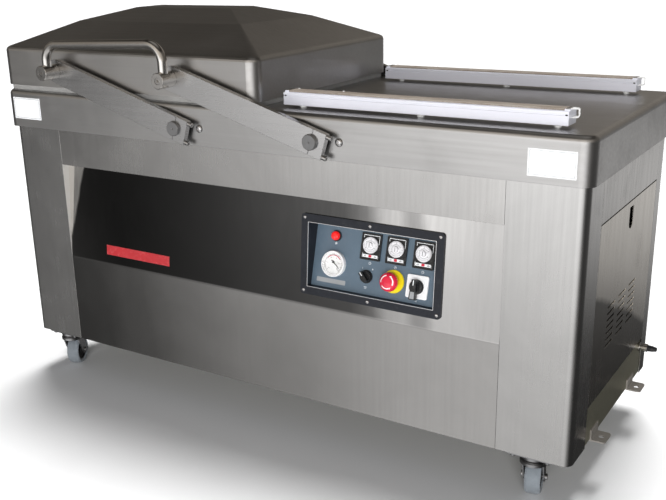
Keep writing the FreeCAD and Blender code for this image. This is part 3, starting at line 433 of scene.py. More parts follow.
deck_lo, deck_hi = BOXES["table_top"]
split("shaft_bearings", ("cyl", "bolt"), lambda c, n: 1 if (c.y < deck_lo.y + 0.0002 or c.y > deck_hi.y - 0.0002) else 0)
split("lid_seal_pads", ("padrub", "bar"), lambda c, n: 0 if c.z < BOXES["lid_seal_pads"][0].z + 0.0112 else 1)
for a in ("left", "right"):
    for b in ("front", "rear"):
        nm = "seal_bar_%s_%s" % (a, b)
        zt = BOXES[nm][1].z
        split(nm, ("bar", "nylon"), lambda c, n, zt=zt: 1 if c.z < zt - 0.0285 else 0)
for c in ("fl", "fr", "rl", "rr"):
    j = JOINTS["caster_roll_" + c]
    p, ax = Vector(j["pos_m"]), Vector(j["axis"]).normalized()

    def which(cc, n, p=p, ax=ax):
        d = cc - p
        r = (d - ax * d.dot(ax)).length
        return 0 if r > 0.0268 else 1
    split("caster_wheel_" + c, ("tyre", "black"), which)

# frame of the tilted control plate, taken from the joints on it
GJ = JOINTS["gauge_pointer"]
N = Vector(GJ["axis"]).normalized()          # outward
W = N.cross(X).normalized()                  # up the slope
O2 = Vector(GJ["pos_m"]) + X * 0.095 + W * 0.014 - N * 0.0065


def on_plate(u, w, h=0.0):
    """mm on the control plate: u to the right, w up the slope, h outward."""
    return O2 + X * (u / 1000.0) + W * (w / 1000.0) + N * (h / 1000.0)


def plate_uwh(p):
    d = p - O2
    return d.dot(X) * 1000.0, d.dot(W) * 1000.0, d.dot(N) * 1000.0


def lamp_pick(c, n):
    u, w, h = plate_uwh(c)
    return 1 if h > 4.02 or math.hypot(u + 97, w - 41) < 9.35 and h > 3.9 else 0


split("pilot_lamp", ("black", "lens"), lamp_pick)


def gauge_pick(c, n):
    u, w, h = plate_uwh(c)
    return 1 if math.hypot(u + 95, w + 18) < 25.1 and h > 5.0 and h < 5.6 else 0


split("gauge_case", ("white", "white"), gauge_pick)


def base_pick(c, n):
    u, w, h = plate_uwh(c)
    return 1 if u > 70 and h < 3.6 and h > -0.2 and abs(u - 101.5) < 23.6 and not math.hypot(u - 101.5, w + 35) < 15.1 else 0


split("switch_bases", ("black", "white"), base_pick)

PN = Vector((0, -math.cos(math.radians(4.844)), math.sin(math.radians(4.844))))
O1_ = O2 + Vector((0, -math.cos(math.radians(4.844)), math.sin(math.radians(4.844)))) * 0.024
PW_ = Vector((0, math.sin(math.radians(4.844)), math.cos(math.radians(4.844))))


def bezel_pick(c, n):
    h = (c - O1_).dot(PN) * 1000.0
    u, w = (c - O1_).dot(X) * 1000.0, (c - O1_).dot(PW_) * 1000.0
    near = min(math.hypot(u - a, w - b) for a, b in ((-155.5, 79), (155.5, 79), (-155.5, -79), (155.5, -79), (0, 79), (0, -79)))
    return 1 if h > 4.05 and near < 4.2 else 0


split("control_bezel", ("bezel", "bolt"), bezel_pick)
split("notice_plates", ("film", "enamel"), lambda c, n: 1 if c.z < 0.5 else 0)
il, ih = BOXES["inlet_fitting"]
split("inlet_fitting", ("nickel", "black"), lambda c, n: 1 if c.x > ih.x - 0.0205 else 0)
for a in ("left", "right"):
    give("clamps_" + a, "arm")


def shade(obj, angle=35.0):
    for p in obj.data.polygons:
        p.use_smooth = True
    obj.data.set_sharp_from_angle(angle=math.radians(angle))


# ---------------------------------------------------------------- new pieces


def add_mesh(name, bm, mat, body, smooth=True, angle=40.0):
    me = bpy.data.meshes.new(name)
    bmesh.ops.recalc_face_normals(bm, faces=bm.faces)
    bm.to_mesh(me)
    bm.free()
    o = bpy.data.objects.new(name, me)
    bpy.context.scene.collection.objects.link(o)
    for m in (mat if isinstance(mat, (list, tuple)) else [mat]):
        me.materials.append(M[m])
    if smooth:
        shade(o, angle)
    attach(o, body)
    return o


def bm_prism(bm, pts, h0, h1, place, mat=0, bevel=0.0):
    """Extruded outline: pts are (u, w) in mm, h0..h1 outward, place maps to the frame."""
    a = [bm.verts.new(place(u, w, h0)) for u, w in pts]
    b = [bm.verts.new(place(u, w, h1)) for u, w in pts]
    n = len(pts)
    fs = [bm.faces.new(list(reversed(a))), bm.faces.new(b)]
    for i in range(n):
        fs.append(bm.faces.new((a[i], a[(i + 1) % n], b[(i + 1) % n], b[i])))
    for f in fs:
        f.material_index = mat
    if bevel:
        es = [e for e in fs[1].edges]
        r = bmesh.ops.bevel(bm, geom=es, offset=bevel / 1000.0, segments=2, affect="EDGES", profile=0.6)
        for f in r["faces"]:
            f.material_index = mat
    return fs


def bm_ring(bm, cu, cw, r0, r1, h0, h1, place, a0=0.0, a1=360.0, seg=64, mat=0):
    """Flat ring or arc between two radii."""
    full = abs(a1 - a0) >= 359.9
    n = max(3, int(seg * abs(a1 - a0) / 360.0))
    cols = []
    for i in range(n if full else n + 1):
        t = math.radians(a0 + (a1 - a0) * i / n)
        c, s = math.cos(t), math.sin(t)
        cols.append([bm.verts.new(place(cu + r * c, cw + r * s, h)) for r, h in ((r0, h0), (r1, h0), (r1, h1), (r0, h1))])
    m = len(cols)
    for i in range(m if full else m - 1):
        p, q = cols[i], cols[(i + 1) % m]
        for j in range(4):
            f = bm.faces.new((p[j], p[(j + 1) % 4], q[(j + 1) % 4], q[j]))
            f.material_index = mat
    if not full:
        bm.faces.new(cols[0]).material_index = mat
        bm.faces.new(list(reversed(cols[-1]))).material_index = mat


def bm_lathe(bm, prof, origin, axis, seg=32, mat=0):
    """Turned piece: prof is (radius, height) in mm along axis."""
    axis = axis.normalized()
    side = axis.orthogonal().normalized()
    up = axis.cross(side)
    rows = []
    for r, h in prof:
        if r < 1e-6:
            rows.append([bm.verts.new(origin + axis * (h / 1000.0))])
        else:
            rows.append([bm.verts.new(origin + axis * (h / 1000.0) + (side * math.cos(2 * math.pi * i / seg) + up * math.sin(2 * math.pi * i / seg)) * (r / 1000.0)) for i in range(seg)])
    for a, b in zip(rows, rows[1:]):
        for i in range(seg):
            j = (i + 1) % seg
            if len(a) == 1 and len(b) == 1:
                continue
            if len(a) == 1:
                f = bm.faces.new((a[0], b[j], b[i]))
            elif len(b) == 1:
                f = bm.faces.new((a[i], a[j], b[0]))
            else:
                f = bm.faces.new((a[i], a[j], b[j], b[i]))
            f.material_index = mat
    for row, flip in ((rows[0], True), (rows[-1], False)):
        if len(row) > 1:
            f = bm.faces.new(list(reversed(row)) if flip else row)
            f.material_index = mat


def rect(u0, w0, u1, w1, r=0.0, seg=4):
    if r <= 0:
        return [(u0, w0), (u1, w0), (u1, w1), (u0, w1)]
    pts = []
    for cx, cy, a in ((u1 - r, w0 + r, -90), (u1 - r, w1 - r, 0), (u0 + r, w1 - r, 90), (u0 + r, w0 + r, 180)):
        for i in range(seg + 1):
            t = math.radians(a + 90.0 * i / seg)
            pts.append((cx + r * math.cos(t), cy + r * math.sin(t)))
    return pts


def wire(name, pts, rad, mat, body):
    """Round wire along a smooth curve; pts in metres."""
    cu = bpy.data.curves.new(name, "CURVE")
    cu.dimensions = "3D"
    cu.bevel_depth = rad / 1000.0
    cu.bevel_resolution = 4
    cu.resolution_u = 8
    cu.use_fill_caps = True
    sp = cu.splines.new("BEZIER")
    sp.bezier_points.add(len(pts) - 1)
    for bp, p in zip(sp.bezier_points, pts):
        bp.co = p
        bp.handle_left_type = bp.handle_right_type = "AUTO"
    o = bpy.data.objects.new(name, cu)
    bpy.context.scene.collection.objects.link(o)
    cu.materials.append(M[mat])
    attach(o, body)
    return o


# seal bars: crinkled release tape over two heating wires, end clamps, studs, wire loops, nylon bushes
for side in ("left", "right"):
    for row in ("front", "rear"):
        nm = "seal_bar_%s_%s" % (side, row)
        lo, hi = BOXES[nm]
        yc = (lo.y + hi.y) / 2
        zt = hi.z
        seed = {"left_front": 1.0, "left_rear": 2.0, "right_front": 3.0, "right_rear": 4.0}[side + "_" + row]
        bm = bmesh.new()
        nx, prof = 150, [(-15.2, -2.2), (-15.4, -0.2), (-14.4, 0.35), (-10, 0.42), (-6, 0.50), (-4.4, 0.70), (-3, 0.80), (-1.6, 0.70), (0, 0.52),
                         (1.6, 0.70), (3, 0.80), (4.4, 0.70), (6, 0.50), (10, 0.42), (14.4, 0.35), (15.4, -0.2), (15.2, -2.2)]
        x0, x1 = lo.x + 0.010, hi.x - 0.010
        grid = []
        for i in range(nx + 1):
            x = x0 + (x1 - x0) * i / nx
            col = []
            for j, (dy, dz) in enumerate(prof):
                inner = 1.0 if 2 <= j <= len(prof) - 3 else 0.0
                cr = noise.noise(Vector((x * 55, dy * 0.10 + seed * 7, seed))) * 0.26 + noise.noise(Vector((x * 150, dy * 0.22, seed * 3))) * 0.10
                wav = 0.9 * math.sin(x * 60 + 3 * noise.noise(Vector((x * 9, seed, 0)))) if abs(dy) < 6 else 0.0
                col.append(bm.verts.new((x, yc + (dy + wav * inner) / 1000.0, zt + (max(0.28, dz + cr) if inner else dz) / 1000.0)))
            grid.append(col)
        for i in range(nx):
            for j in range(len(prof) - 1):
                bm.faces.new((grid[i][j], grid[i + 1][j], grid[i + 1][j + 1], grid[i][j + 1]))
        o = add_mesh("release_tape_%s_%s" % (side, row), bm, "tape", nm, True, 80)
        so = o.modifiers.new("thickness", "SOLIDIFY")
        so.thickness = 0.00022
        so.offset = 1.0
        # end clamps and studs
        bm = bmesh.new()
        for xe, s in ((lo.x, 1), (hi.x, -1)):
            def pl(u, w, h, xe=xe, s=s):
                return Vector((xe + s * u / 1000.0, yc + w / 1000.0, zt + h / 1000.0))
            bm_prism(bm, rect(1.2, -12.5, 9.2, 12.5, 1.2), 0.02, 1.15, pl, 0, 0.35)
            bm_lathe(bm, [(0, 0.9), (3.0, 0.9), (3.0, 1.2), (2.2, 1.33), (0, 1.38)], Vector((xe + s * 0.0052, yc, zt)), Z, 20, 0)
            # screw in the side groove
            for sy in (-1, 1):
                bm_lathe(bm, [(0, -0.9), (2.2, -0.9), (2.2, 0.5), (1.5, 1.1), (0, 1.2)],
                         Vector((xe + s * 0.0045, yc + sy * (hi.y - lo.y) / 2 - sy * 0.0012, zt - 0.0092)), Y * sy, 16, 1)
        inner = lo.x if side == "right" else hi.x
        way = 1.0 if side == "right" else -1.0
        for step in (0.014, 0.121):
            x = inner + way * step
            bm_lathe(bm, [(0, -3.4), (1.7, -3.4), (1.7, 0.3), (2.4, 0.4), (2.4, 0.9), (1.6, 1.3), (0, 1.38)],
                     Vector((x, hi.y - 0.0034, zt)), Z, 16, 2)
        add_mesh("bar_fittings_%s_%s" % (side, row), bm, ("bolt", "black", "nylon"), nm)
        # supply wires leave the outer end and turn back under the bar
        xo, s = (hi.x, 1) if side == "right" else (lo.x, -1)
        for q, (dy, reach) in enumerate(((-7.0, 12.0), (5.0, 9.5))):
            pts = [Vector((xo - s * 0.0045, yc + dy / 1000.0, zt + 0.0003)), Vector((xo + s * (reach - 4) / 1000.0, yc + (dy + 0.5) / 1000.0, zt + 0.0003)),
                   Vector((xo + s * reach / 1000.0, yc + (dy + 1.0) / 1000.0, zt - 0.0004)), Vector((xo + s * (reach + 0.6) / 1000.0, yc + (dy + 1.2) / 1000.0, zt - 0.005)),
                   Vector((xo + s * reach / 1000.0, yc + (dy + 2.0) / 1000.0, zt - 0.0135)), Vector((xo + s * (reach - 5) / 1000.0, yc + (dy + 2.0) / 1000.0, zt - 0.0150)),
                   Vector((xo - s * 0.004, yc + (dy + 2.0) / 1000.0, zt - 0.0150))]
            wire("bar_lead_%s_%s_%d" % (side, row, q), pts, 0.95, "nylon", nm)
        # bushes in the deck under the bar
        bm = bmesh.new()
        zd = deck_hi.z
        sgn = 1.0 if side == "right" else -1.0
        for i, px in enumerate((0.105, 0.373, 0.642)):
            r = 6.5 if i == 1 else 5.5
            c = Vector((sgn * px + DX, yc, zd))
            bm_ring(bm, 0, 0, r, r + 1.1, 0.0, 2.6, lambda u, w, h, c=c: c + Vector((u, w, h)) / 1000.0, seg=40)
        add_mesh("bar_bushes_%s_%s" % (side, row), bm, "nylon", "root")

# gauge: printed scale, arc and window
GC = (-95.0, -18.0)
GP = (-95.0, -14.0)
bm = bmesh.new()
for i in range(0, 51):
    a = math.radians(-45 + 270.0 * i / 50)
    ln = 3.2 if i % 5 == 0 else 1.7
    c, s = math.cos(a), math.sin(a)
    r1 = 20.4
    wd = 0.34 if i % 5 == 0 else 0.2
    pts = []
    for rr, ss in ((r1 - ln, -wd), (r1, -wd), (r1, wd), (r1 - ln, wd)):
        pts.append((GC[0] + rr * c - ss * s, GC[1] + rr * s + ss * c))
    bm_prism(bm, pts, 5.48, 5.62, on_plate, 0)
bm_ring(bm, GC[0], GC[1], 17.4, 19.0, 5.48, 5.60, on_plate, 38, 142, 90, 1)
bm_ring(bm, GC[0], GC[1], 21.2, 21.5, 5.48, 5.58, on_plate, 0, 360, 96, 0)
bm_ring(bm, GC[0], GC[1], 9.4, 9.7, 5.48, 5.56, on_plate, -30, 30, 90, 0)
add_mesh("gauge_scale", bm, ("markd", "markr"), "root", False)


def digits(name, items, size, mat, body, h, place_n=None):
    """Plain dial numerals, one curve object turned into a mesh."""
    bm = bmesh.new()
    for txt, u, w in items:
        cu = bpy.data.curves.new("t", "FONT")
        cu.body = txt
        cu.size = size / 1000.0
        cu.align_x = "CENTER"
        cu.align_y = "CENTER"
        cu.extrude = 0.00004
        cu.resolution_u = 3
        o = bpy.data.objects.new("t", cu)
        bpy.context.scene.collection.objects.link(o)
        m3 = Matrix((X, W, N)).transposed().to_4x4()
        o.matrix_world = Matrix.Translation(on_plate(u, w, h)) @ m3
        bpy.context.view_layer.update()
        dg = bpy.context.evaluated_depsgraph_get()
        me = bpy.data.meshes.new_from_object(o.evaluated_get(dg))
        me.transform(o.matrix_world)
        bm.from_mesh(me)
        bpy.data.meshes.remove(me)
        bpy.data.objects.remove(o)
        bpy.data.curves.remove(cu)
    for f in bm.faces:
        f.material_index = 0
    return add_mesh(name, bm, mat, body, False)


nums = []
for i, t in enumerate(("0", "2", "4", "6", "8", "10")):
    a = math.radians(225 - 54.0 * i)
    nums.append((t, GC[0] + 13.6 * math.cos(a), GC[1] + 13.6 * math.sin(a)))
digits("gauge_numbers", nums, 4.2, "markd", "root", 5.56)
bm = bmesh.new()
bm_lathe(bm, [(0, 9.05), (24.6, 9.05), (25.1, 9.25), (25.1, 9.55), (24.4, 9.75), (0, 9.95)], on_plate(GC[0], GC[1], 0.0), N, 64)
add_mesh("gauge_window", bm, "glass", "root")

# timers: printed frame lines, range strip, dial marks
TU = (-12.0, 47.0, 108.5)
bm = bmesh.new()
for i, u in enumerate(TU):
    for a, b in ((rect(u - 17.4, 52.4, u + 18.4, 53.6), 0), (rect(u - 18.4, 47.0, u - 17.4, 53.6), 0), (rect(u + 17.4, 36.0, u + 18.4, 53.6), 0),
                 (rect(u - 18.4, 6.0, u - 17.6, 15.5), 0), (rect(u + 17.6, 6.0, u + 18.2, 12.0), 0),
                 (rect(u - 17.0, 7.0, u + 17.0, 13.2), 1), (rect(u - 3.4, 7.6, u + 3.4, 12.8), 2),
                 (rect(u - 14.4, 9.0, u - 8.8, 9.9), 3), (rect(u + 8.8, 9.0, u + 14.4, 9.9), 3), (rect(u - 12.6, 11.0, u - 9.6, 11.6), 3), (rect(u + 9.6, 11.0, u + 12.6, 11.6), 3)):
        bm_prism(bm, a, 3.58, 3.70 if b < 2 else 3.78, on_plate, b)
add_mesh("timer_prints", bm, ("mark", "film", "markr", "markd"), "root", False)
for i, u in enumerate(TU):
    bm = bmesh.new()
    for q in range(25):
        a = math.radians(-135 + 270.0 * q / 24)
        s, c = math.sin(a), math.cos(a)
        big = q % 4 == 0
        r0, r1, wd = (13.9 if big else 14.4), 16.0, (0.34 if big else 0.2)
        bm_prism(bm, [(u + rr * s + ss * c, 33 + rr * c - ss * s) for rr, ss in ((r0, -wd), (r1, -wd), (r1, wd), (r0, wd))], 8.98, 9.10, on_plate, 0)
    bm_prism(bm, [(u - 0.5, 33 - 4.6), (u + 0.5, 33 - 4.6), (u + 0.35, 33 + 4.6), (u - 0.35, 33 + 4.6)], 12.78, 12.95, on_plate, 1)
    bm_ring(bm, u, 33.0, 9.2, 9.9, 7.58, 7.72, on_plate, 20, 340, 60, 2)
    for q in range(5):
        a = math.radians(90 - 60 * (q - 2))
        bm_ring(bm, u + 11.6 * math.cos(a), 33 + 11.6 * math.sin(a), 0.0 + 0.15, 0.75, 7.58, 7.72, on_plate, seg=12, mat=0)
    add_mesh("timer_dial_marks_%d" % (i + 1), bm, ("markd", "markd", "border"), "timer_dial_%d" % (i + 1), False)

# small legends beside the controls: plain dots, bars and ticks
bm = bmesh.new()


def dot(u, w, r=1.1, m=0):
    bm_ring(bm, u, w, 0.05, r, 0.02, 0.16, on_plate, seg=20, mat=m)


def bar_(u, w, a, b, m=0):
    bm_prism(bm, rect(u - a / 2, w - b / 2, u + a / 2, w + b / 2, min(a, b) * 0.3), 0.02, 0.16, on_plate, m)


dot(-97, 25.5, 1.5)
bm_ring(bm, -97, 25.5, 2.2, 2.7, 0.02, 0.16, on_plate, seg=28)
for u, ww in ((TU[0], -4.6), (TU[1], -4.6), (TU[2], -4.6)):
    bm_ring(bm, u, ww, 2.3, 2.8, 0.02, 0.16, on_plate, seg=28)
    bar_(u, ww + 0.9, 0.5, 2.0)
    bar_(u + 0.7, ww, 1.6, 0.5)
bar_(-27.5, -16.5, 0.7, 3.0)
bar_(-4.5, -16.5, 0.7, 3.0)
bar_(-3.0, -16.5, 0.7, 3.0)
bar_(-16, -54.5, 7.0, 1.0)
bar_(-16, -57.2, 4.4, 0.8)
bm_prism(bm, [(100.2, -62.6), (102.8, -62.6), (101.5, -60.2)], 0.02, 0.16, on_plate, 0)
bar_(101.5, -65.0, 4.0, 0.8)
# plain blank strip where a printed name sat
bm_prism(bm, rect(-134, -60.0, -64, -50.5, 1.4), 0.02, 0.14, on_plate, 1)
add_mesh("panel_legends", bm, ("mark", "border"), "root", False)

# light edge trim round the recess
SJ = math.radians(4.844)
O1 = O2 + Vector((0, -math.cos(SJ), math.sin(SJ))) * 0.024
PW = Vector((0, math.sin(SJ), math.cos(SJ)))


def on_bezel(u, w, h=0.0):
    return O1 + X * (u / 1000.0) + PW * (w / 1000.0) + PN * (h / 1000.0)


bm = bmesh.new()
outer, inner = rect(-147.6, -70.2, 147.6, 70.2, 1.2), rect(-146.4, -69.0, 146.4, 69.0, 1.0)
n = len(outer)
rows = []
for pts, h in ((outer, 3.9), (outer, 4.35), (inner, 4.35), (inner, 2.2)):
    rows.append([bm.verts.new(on_bezel(u, w, h)) for u, w in pts])
for a, b in ((0, 1), (1, 2), (2, 3)):
    for i in range(n):
        bm.faces.new((rows[a][i], rows[a][(i + 1) % n], rows[b][(i + 1) % n], rows[b][i]))
for i in range(n):
    bm.faces.new((rows[3][i], rows[3][(i + 1) % n], rows[0][(i + 1) % n], rows[0][i]))
add_mesh("bezel_trim", bm, "bolt", "root", False)

# mushroom head: three curved arrows set in the crown
SU, SW = 47.0, -33.0


def crown(r):
    prof = [(0, 32.2), (6, 31.9), (12, 31.0), (16.6, 29.0), (19.0, 26.0)]
    for (r0, h0), (r1, h1) in zip(prof, prof[1:]):
        if r <= r1:
            return h0 + (h1 - h0) * (r - r0) / (r1 - r0)
    return 26.0


bm = bmesh.new()
for q in range(3):
    a0 = 100 + 120 * q
    cols = []
    for i in range(19):
        a = math.radians(a0 + 74.0 * i / 18)
        hw = 1.05
        row = []
        for r in (13.4 - hw, 13.4, 13.4 + hw):
            row.append(bm.verts.new(on_plate(SU + r * math.cos(a), SW + r * math.sin(a), crown(r) + 0.10)))
        cols.append(row)
    for p, q2 in zip(cols, cols[1:]):
        for j in range(2):
            bm.faces.new((p[j], p[j + 1], q2[j + 1], q2[j]))
    a = math.radians(a0 + 76.0)
    b = math.radians(a0 + 92.0)
    tip = bm.verts.new(on_plate(SU + 13.4 * math.cos(b), SW + 13.4 * math.sin(b), crown(13.4) + 0.12))
    p0 = bm.verts.new(on_plate(SU + 10.6 * math.cos(a), SW + 10.6 * math.sin(a), crown(10.6) + 0.12))
    p1 = bm.verts.new(on_plate(SU + 13.4 * math.cos(a), SW + 13.4 * math.sin(a), crown(13.4) + 0.12))
    p2 = bm.verts.new(on_plate(SU + 16.2 * math.cos(a), SW + 16.2 * math.sin(a), crown(16.2) + 0.12))
    bm.faces.new((p0, p1, tip))
    bm.faces.new((p1, p2, tip))
o = add_mesh("estop_arrows", bm, "mark", "estop_head", False)
so = o.modifiers.new("thickness", "SOLIDIFY")
so.thickness = 0.00015

# pointer inlays
bm = bmesh.new()
ca, sa = math.cos(math.radians(135)), math.sin(math.radians(135))
bm_prism(bm, [(-16 + a * ca - b * sa, -33 + a * sa + b * ca) for a, b in ((3.0, -0.8), (11.0, -0.8), (11.0, 0.8), (3.0, 0.8))], 17.46, 17.62, on_plate, 0)
add_mesh("selector_inlay", bm, "mark", "selector_knob", False)
bm = bmesh.new()
bm_prism(bm, [(101.5 - 0.9, -35 + 4), (101.5 + 0.9, -35 + 4), (101.5 + 0.9, -35 + 14.2), (101.5 - 0.9, -35 + 14.2)], 22.96, 23.12, on_plate, 0)
add_mesh("switch_inlay", bm, "mark", "switch_handle", False)

# centre-drilled ends of the cross shafts
for side in ("left", "right"):
    lo, hi = BOXES["shaft_" + side]
    cx, cz = (lo.x + hi.x) / 2, (lo.z + hi.z) / 2
    bm = bmesh.new()
    for yy, ax in ((lo.y, -Y), (hi.y, Y)):
        bm_lathe(bm, [(0, -1.6), (2.3, 0.04), (2.6, 0.22), (2.3, 0.30), (1.7, 0.16), (0, -0.9)], Vector((cx, yy + 0.0015 * (1 if ax.y < 0 else -1), cz)), ax, 24)
    add_mesh("shaft_centres_" + side, bm, "bolt", "swing_arms_" + side)

# painted highlight: a light grey patch low on the main switch handle, where a sheen shows
bm = bmesh.new()
bm_prism(bm, [(101.5 - 4.8, -35 - 23), (101.5 + 4.8, -35 - 23), (101.5 + 4.2, -35 - 9), (101.5 - 4.2, -35 - 9)], 22.96, 23.10, on_plate, 0)
add_mesh("switch_painted_highlight", bm, "grip", "switch_handle", False)

# blank plates: thin border line
fr_y = deck_lo.y - 0.0005
bm = bmesh.new()
for u0, w0, u1, w1 in ((-705 + DX * 1000, 672, -613 + DX * 1000, 724), (613 + DX * 1000, 665, 701 + DX * 1000, 714)):
    def face(u, w, h):
        return Vector((u / 1000.0, fr_y - h / 1000.0, w / 1000.0))
    a, b = rect(u0 + 2.5, w0 + 2.5, u1 - 2.5, w1 - 2.5, 2.0), rect(u0 + 3.4, w0 + 3.4, u1 - 3.4, w1 - 3.4, 1.6)
    n = len(a)
    ra = [[bm.verts.new(face(u, w, h)) for u, w in pts] for pts, h in ((a, 0.0), (a, 0.12), (b, 0.12), (b, 0.0))]
    for p in range(4):
        for i in range(n):
            bm.faces.new((ra[p][i], ra[p][(i + 1) % n], ra[(p + 1) % 4][(i + 1) % n], ra[(p + 1) % 4][i]))
add_mesh("plate_borders", bm, "border", "root", False)

# ---------------------------------------------------------------- stage
fl = bpy.data.meshes.new("floor")
bm = bmesh.new()
S = 40.0
n = 8
gv = [[bm.verts.new((-S + 2 * S * i / n, -S + 2 * S * j / n, 0.0)) for j in range(n + 1)] for i in range(n + 1)]
for i in range(n):
    for j in range(n):
        bm.faces.new((gv[i][j], gv[i + 1][j], gv[i + 1][j + 1], gv[i][j + 1]))
bm.to_mesh(fl)
bm.free()
floor = bpy.data.objects.new("floor", fl)
bpy.context.scene.collection.objects.link(floor)
k = Mat("studio_floor")
k.set("Metallic", 0.0)
k.set("Specular IOR Level", 0.2)
fn = k.noise(k.coords(), 1.3, 4.0, 0.6)
k.link(k.mix(k.rng(fn, 0.3, 0.7, 0.0, 1.0), (0.86, 0.86, 0.86), (0.90, 0.90, 0.90)), k.b.inputs["Base Color"])
k.link(k.rng(fn, 0.3, 0.7, 0.75, 0.9), k.b.inputs["Roughness"])
fl.materials.append(k.m)
floor.visible_glossy = False
floor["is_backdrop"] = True

# studio surroundings: even fill for everything, a graded soft room in the reflections
world = bpy.data.worlds.new("studio")
bpy.context.scene.world = world
world.use_nodes = True
t = world.node_tree
t.nodes.clear()
wo = t.nodes.new("ShaderNodeOutputWorld")
tc = t.nodes.new("ShaderNodeTexCoord")
sep = t.nodes.new("ShaderNodeSeparateXYZ")
t.links.new(tc.outputs["Generated"], sep.inputs[0])


def wm(op, a, b=None, clamp=False):
    n = t.nodes.new("ShaderNodeMath")
    n.operation = op
    n.use_clamp = clamp
    for i, v in enumerate((a, b)):
        if v is None:
            continue
        if isinstance(v, (int, float)):
            n.inputs[i].default_value = v
        else:
            t.links.new(v, n.inputs[i])
    return n.outputs[0]


def wramp(src, stops, tint=(1.0, 0.985, 0.975)):
    n = t.nodes.new("ShaderNodeValToRGB")
    cr = n.color_ramp
    cr.interpolation = "EASE"
    while len(cr.elements) < len(stops):
        cr.elements.new(0.5)
    for e, (deg, v) in zip(cr.elements, sorted(stops)):
        e.position = (deg + 180.0) / 360.0
        w_ = max(0.0, 1 - v)
        e.color = (v, v * (tint[1] - 0.01 * w_), v * (tint[2] - 0.03 * w_), 1)
    t.links.new(src, n.inputs[0])
    return n.outputs[0]


az = wm("ARCTAN2", wm("MULTIPLY", sep.outputs[0], -1.0), wm("MULTIPLY", sep.outputs[1], -1.0))
az01 = wm("ADD", wm("DIVIDE", az, 2 * math.pi), 0.5)
up = wramp(az01, [(-180, .30), (-166, .24), (-150, .14), (-120, .11), (-90, .13), (-50, .45), (0, .8), (25, .62), (50, .26), (90, .12), (140, .085), (150, .10), (158, .14), (166, .24), (174, .30), (180, .30)], (1, .91, .81))
lev = wramp(az01, [(-180, .26), (-168, .25), (-155, .17), (-130, .08), (-75, .07), (-52, .15), (-35, 1.3), (-15, 1.9), (0, 1.9), (18, 1.78), (27.5, 1.66), (31, 1.42), (35, .90), (40, .38), (45, .15), (52, .09), (60, .07), (100, .07), (150, .12), (172, .22), (180, .26)])
mid = wramp(az01, [(-180, .60), (-168, .66), (-155, .40), (-130, .10), (-75, .06), (-52, .18), (-35, 1.0), (-15, 1.5), (0, 1.5), (16, 1.48), (19.5, 1.40), (23, 1.08), (27, .95), (33, .70), (38, .50), (43, .28), (47, .19), (52, .16), (60, .12), (100, .10), (150, .2), (170, .45), (180, .60)])
low = wramp(az01, [(-180, .04), (-168, .032), (-150, .03), (-130, .03), (-75, .03), (-45, .2), (-20, .6), (0, .70), (18, .66), (25, .66), (36, .34), (46, .15), (60, .11), (100, .07), (150, .04), (172, .04), (180, .04)])


def wmix(fac, a, b):
    n = t.nodes.new("ShaderNodeMix")
    n.data_type = "RGBA"
    for s_, v in ((n.inputs[0], fac), (n.inputs[6], a), (n.inputs[7], b)):
        if isinstance(v, (int, float)):
            s_.default_value = v
        elif isinstance(v, tuple):
            s_.default_value = v
        else:
            t.links.new(v, s_)
    return n.outputs[2]


def wstep(lo_, hi_):
    n = t.nodes.new("ShaderNodeMapRange")
    n.interpolation_type = "SMOOTHSTEP"
    n.inputs["From Min"].default_value = lo_
    n.inputs["From Max"].default_value = hi_
    t.links.new(sep.outputs[2], n.inputs["Value"])
    return n.outputs["Result"]


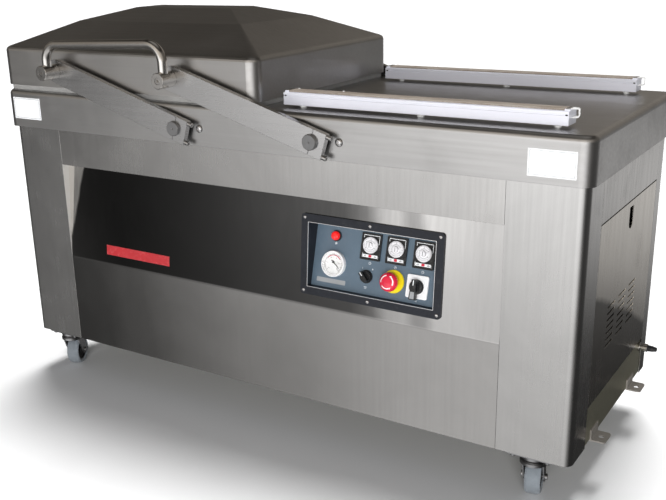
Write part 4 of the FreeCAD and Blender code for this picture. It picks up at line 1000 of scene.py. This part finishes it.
c = wmix(wstep(-0.40, -0.22), low, mid)
c = wmix(wstep(-0.20, -0.12), c, lev)
c = wmix(wstep(0.00, 0.14), c, up)
c = wmix(wstep(0.60, 0.70), c, (0.021, 0.018, 0.015, 1.0))
c = wmix(wstep(0.84, 0.98), c, (0.24, 0.225, 0.21, 1.0))
bg1 = t.nodes.new("ShaderNodeBackground")
bg1.inputs["Strength"].default_value = 1.0
t.links.new(c, bg1.inputs["Color"])
bg2 = t.nodes.new("ShaderNodeBackground")
bg2.inputs["Color"].default_value = (0.95, 0.96, 1.0, 1.0)
bg2.inputs["Strength"].default_value = 0.18
lp = t.nodes.new("ShaderNodeLightPath")
ms = t.nodes.new("ShaderNodeMixShader")
t.links.new(lp.outputs["Is Glossy Ray"], ms.inputs[0])
t.links.new(bg2.outputs[0], ms.inputs[1])
t.links.new(bg1.outputs[0], ms.inputs[2])
t.links.new(ms.outputs[0], wo.inputs[0])


def area(name, loc, target, size, watts, glossy=True, col=(1, 1, 1)):
    l = bpy.data.lights.new(name, "AREA")
    l.shape = "RECTANGLE"
    l.size, l.size_y = size
    l.energy = watts
    l.color = col
    o = bpy.data.objects.new(name, l)
    o.location = loc
    d = Vector(target) - Vector(loc)
    o.rotation_euler = d.to_track_quat("-Z", "Y").to_euler()
    o.visible_glossy = glossy
    bpy.context.scene.collection.objects.link(o)
    return o


sun = bpy.data.lights.new("soft_key", "SUN")
sun.energy = 4.1
sun.angle = math.radians(28)
so = bpy.data.objects.new("soft_key", sun)
so.rotation_euler = Vector((0.22, -0.85, -2.5)).to_track_quat("-Z", "Y").to_euler()
so.visible_glossy = False
bpy.context.scene.collection.objects.link(so)
area("soft_front", (2.1, -4.2, 1.15), (0.1, 0, 0.62), (2.2, 1.4), 140.0, False)

# ---------------------------------------------------------------- camera
cam = bpy.data.cameras.new("camera")
co = bpy.data.objects.new("camera", cam)
bpy.context.scene.collection.objects.link(co)
yaw, pitch, roll = 0.5786, -0.3219, -0.0257
fwd = Vector((-math.sin(yaw) * math.cos(pitch), math.cos(yaw) * math.cos(pitch), math.sin(pitch)))
rt = Vector((math.cos(yaw), math.sin(yaw), 0))
upv = rt.cross(fwd)
r2 = rt * math.cos(roll) + upv * math.sin(roll)
u2 = upv * math.cos(roll) - rt * math.sin(roll)
co.matrix_world = Matrix((
    (r2.x, u2.x, -fwd.x, 1.17543 + DX),
    (r2.y, u2.y, -fwd.y, -1.85090),
    (r2.z, u2.z, -fwd.z, 1.05089),
    (0, 0, 0, 1)))
cam.sensor_fit = "HORIZONTAL"
cam.sensor_width = 36.0
cam.lens = 51.01
cam.shift_x = 0.0348
cam.shift_y = 0.0207
cam.clip_start = 0.05
cam.clip_end = 200.0
bpy.context.scene.camera = co
vs = bpy.context.scene.view_settings
vs.view_transform = "Standard"
vs.look = "None"
vs.exposure = 0.0

END = plain_bounds()
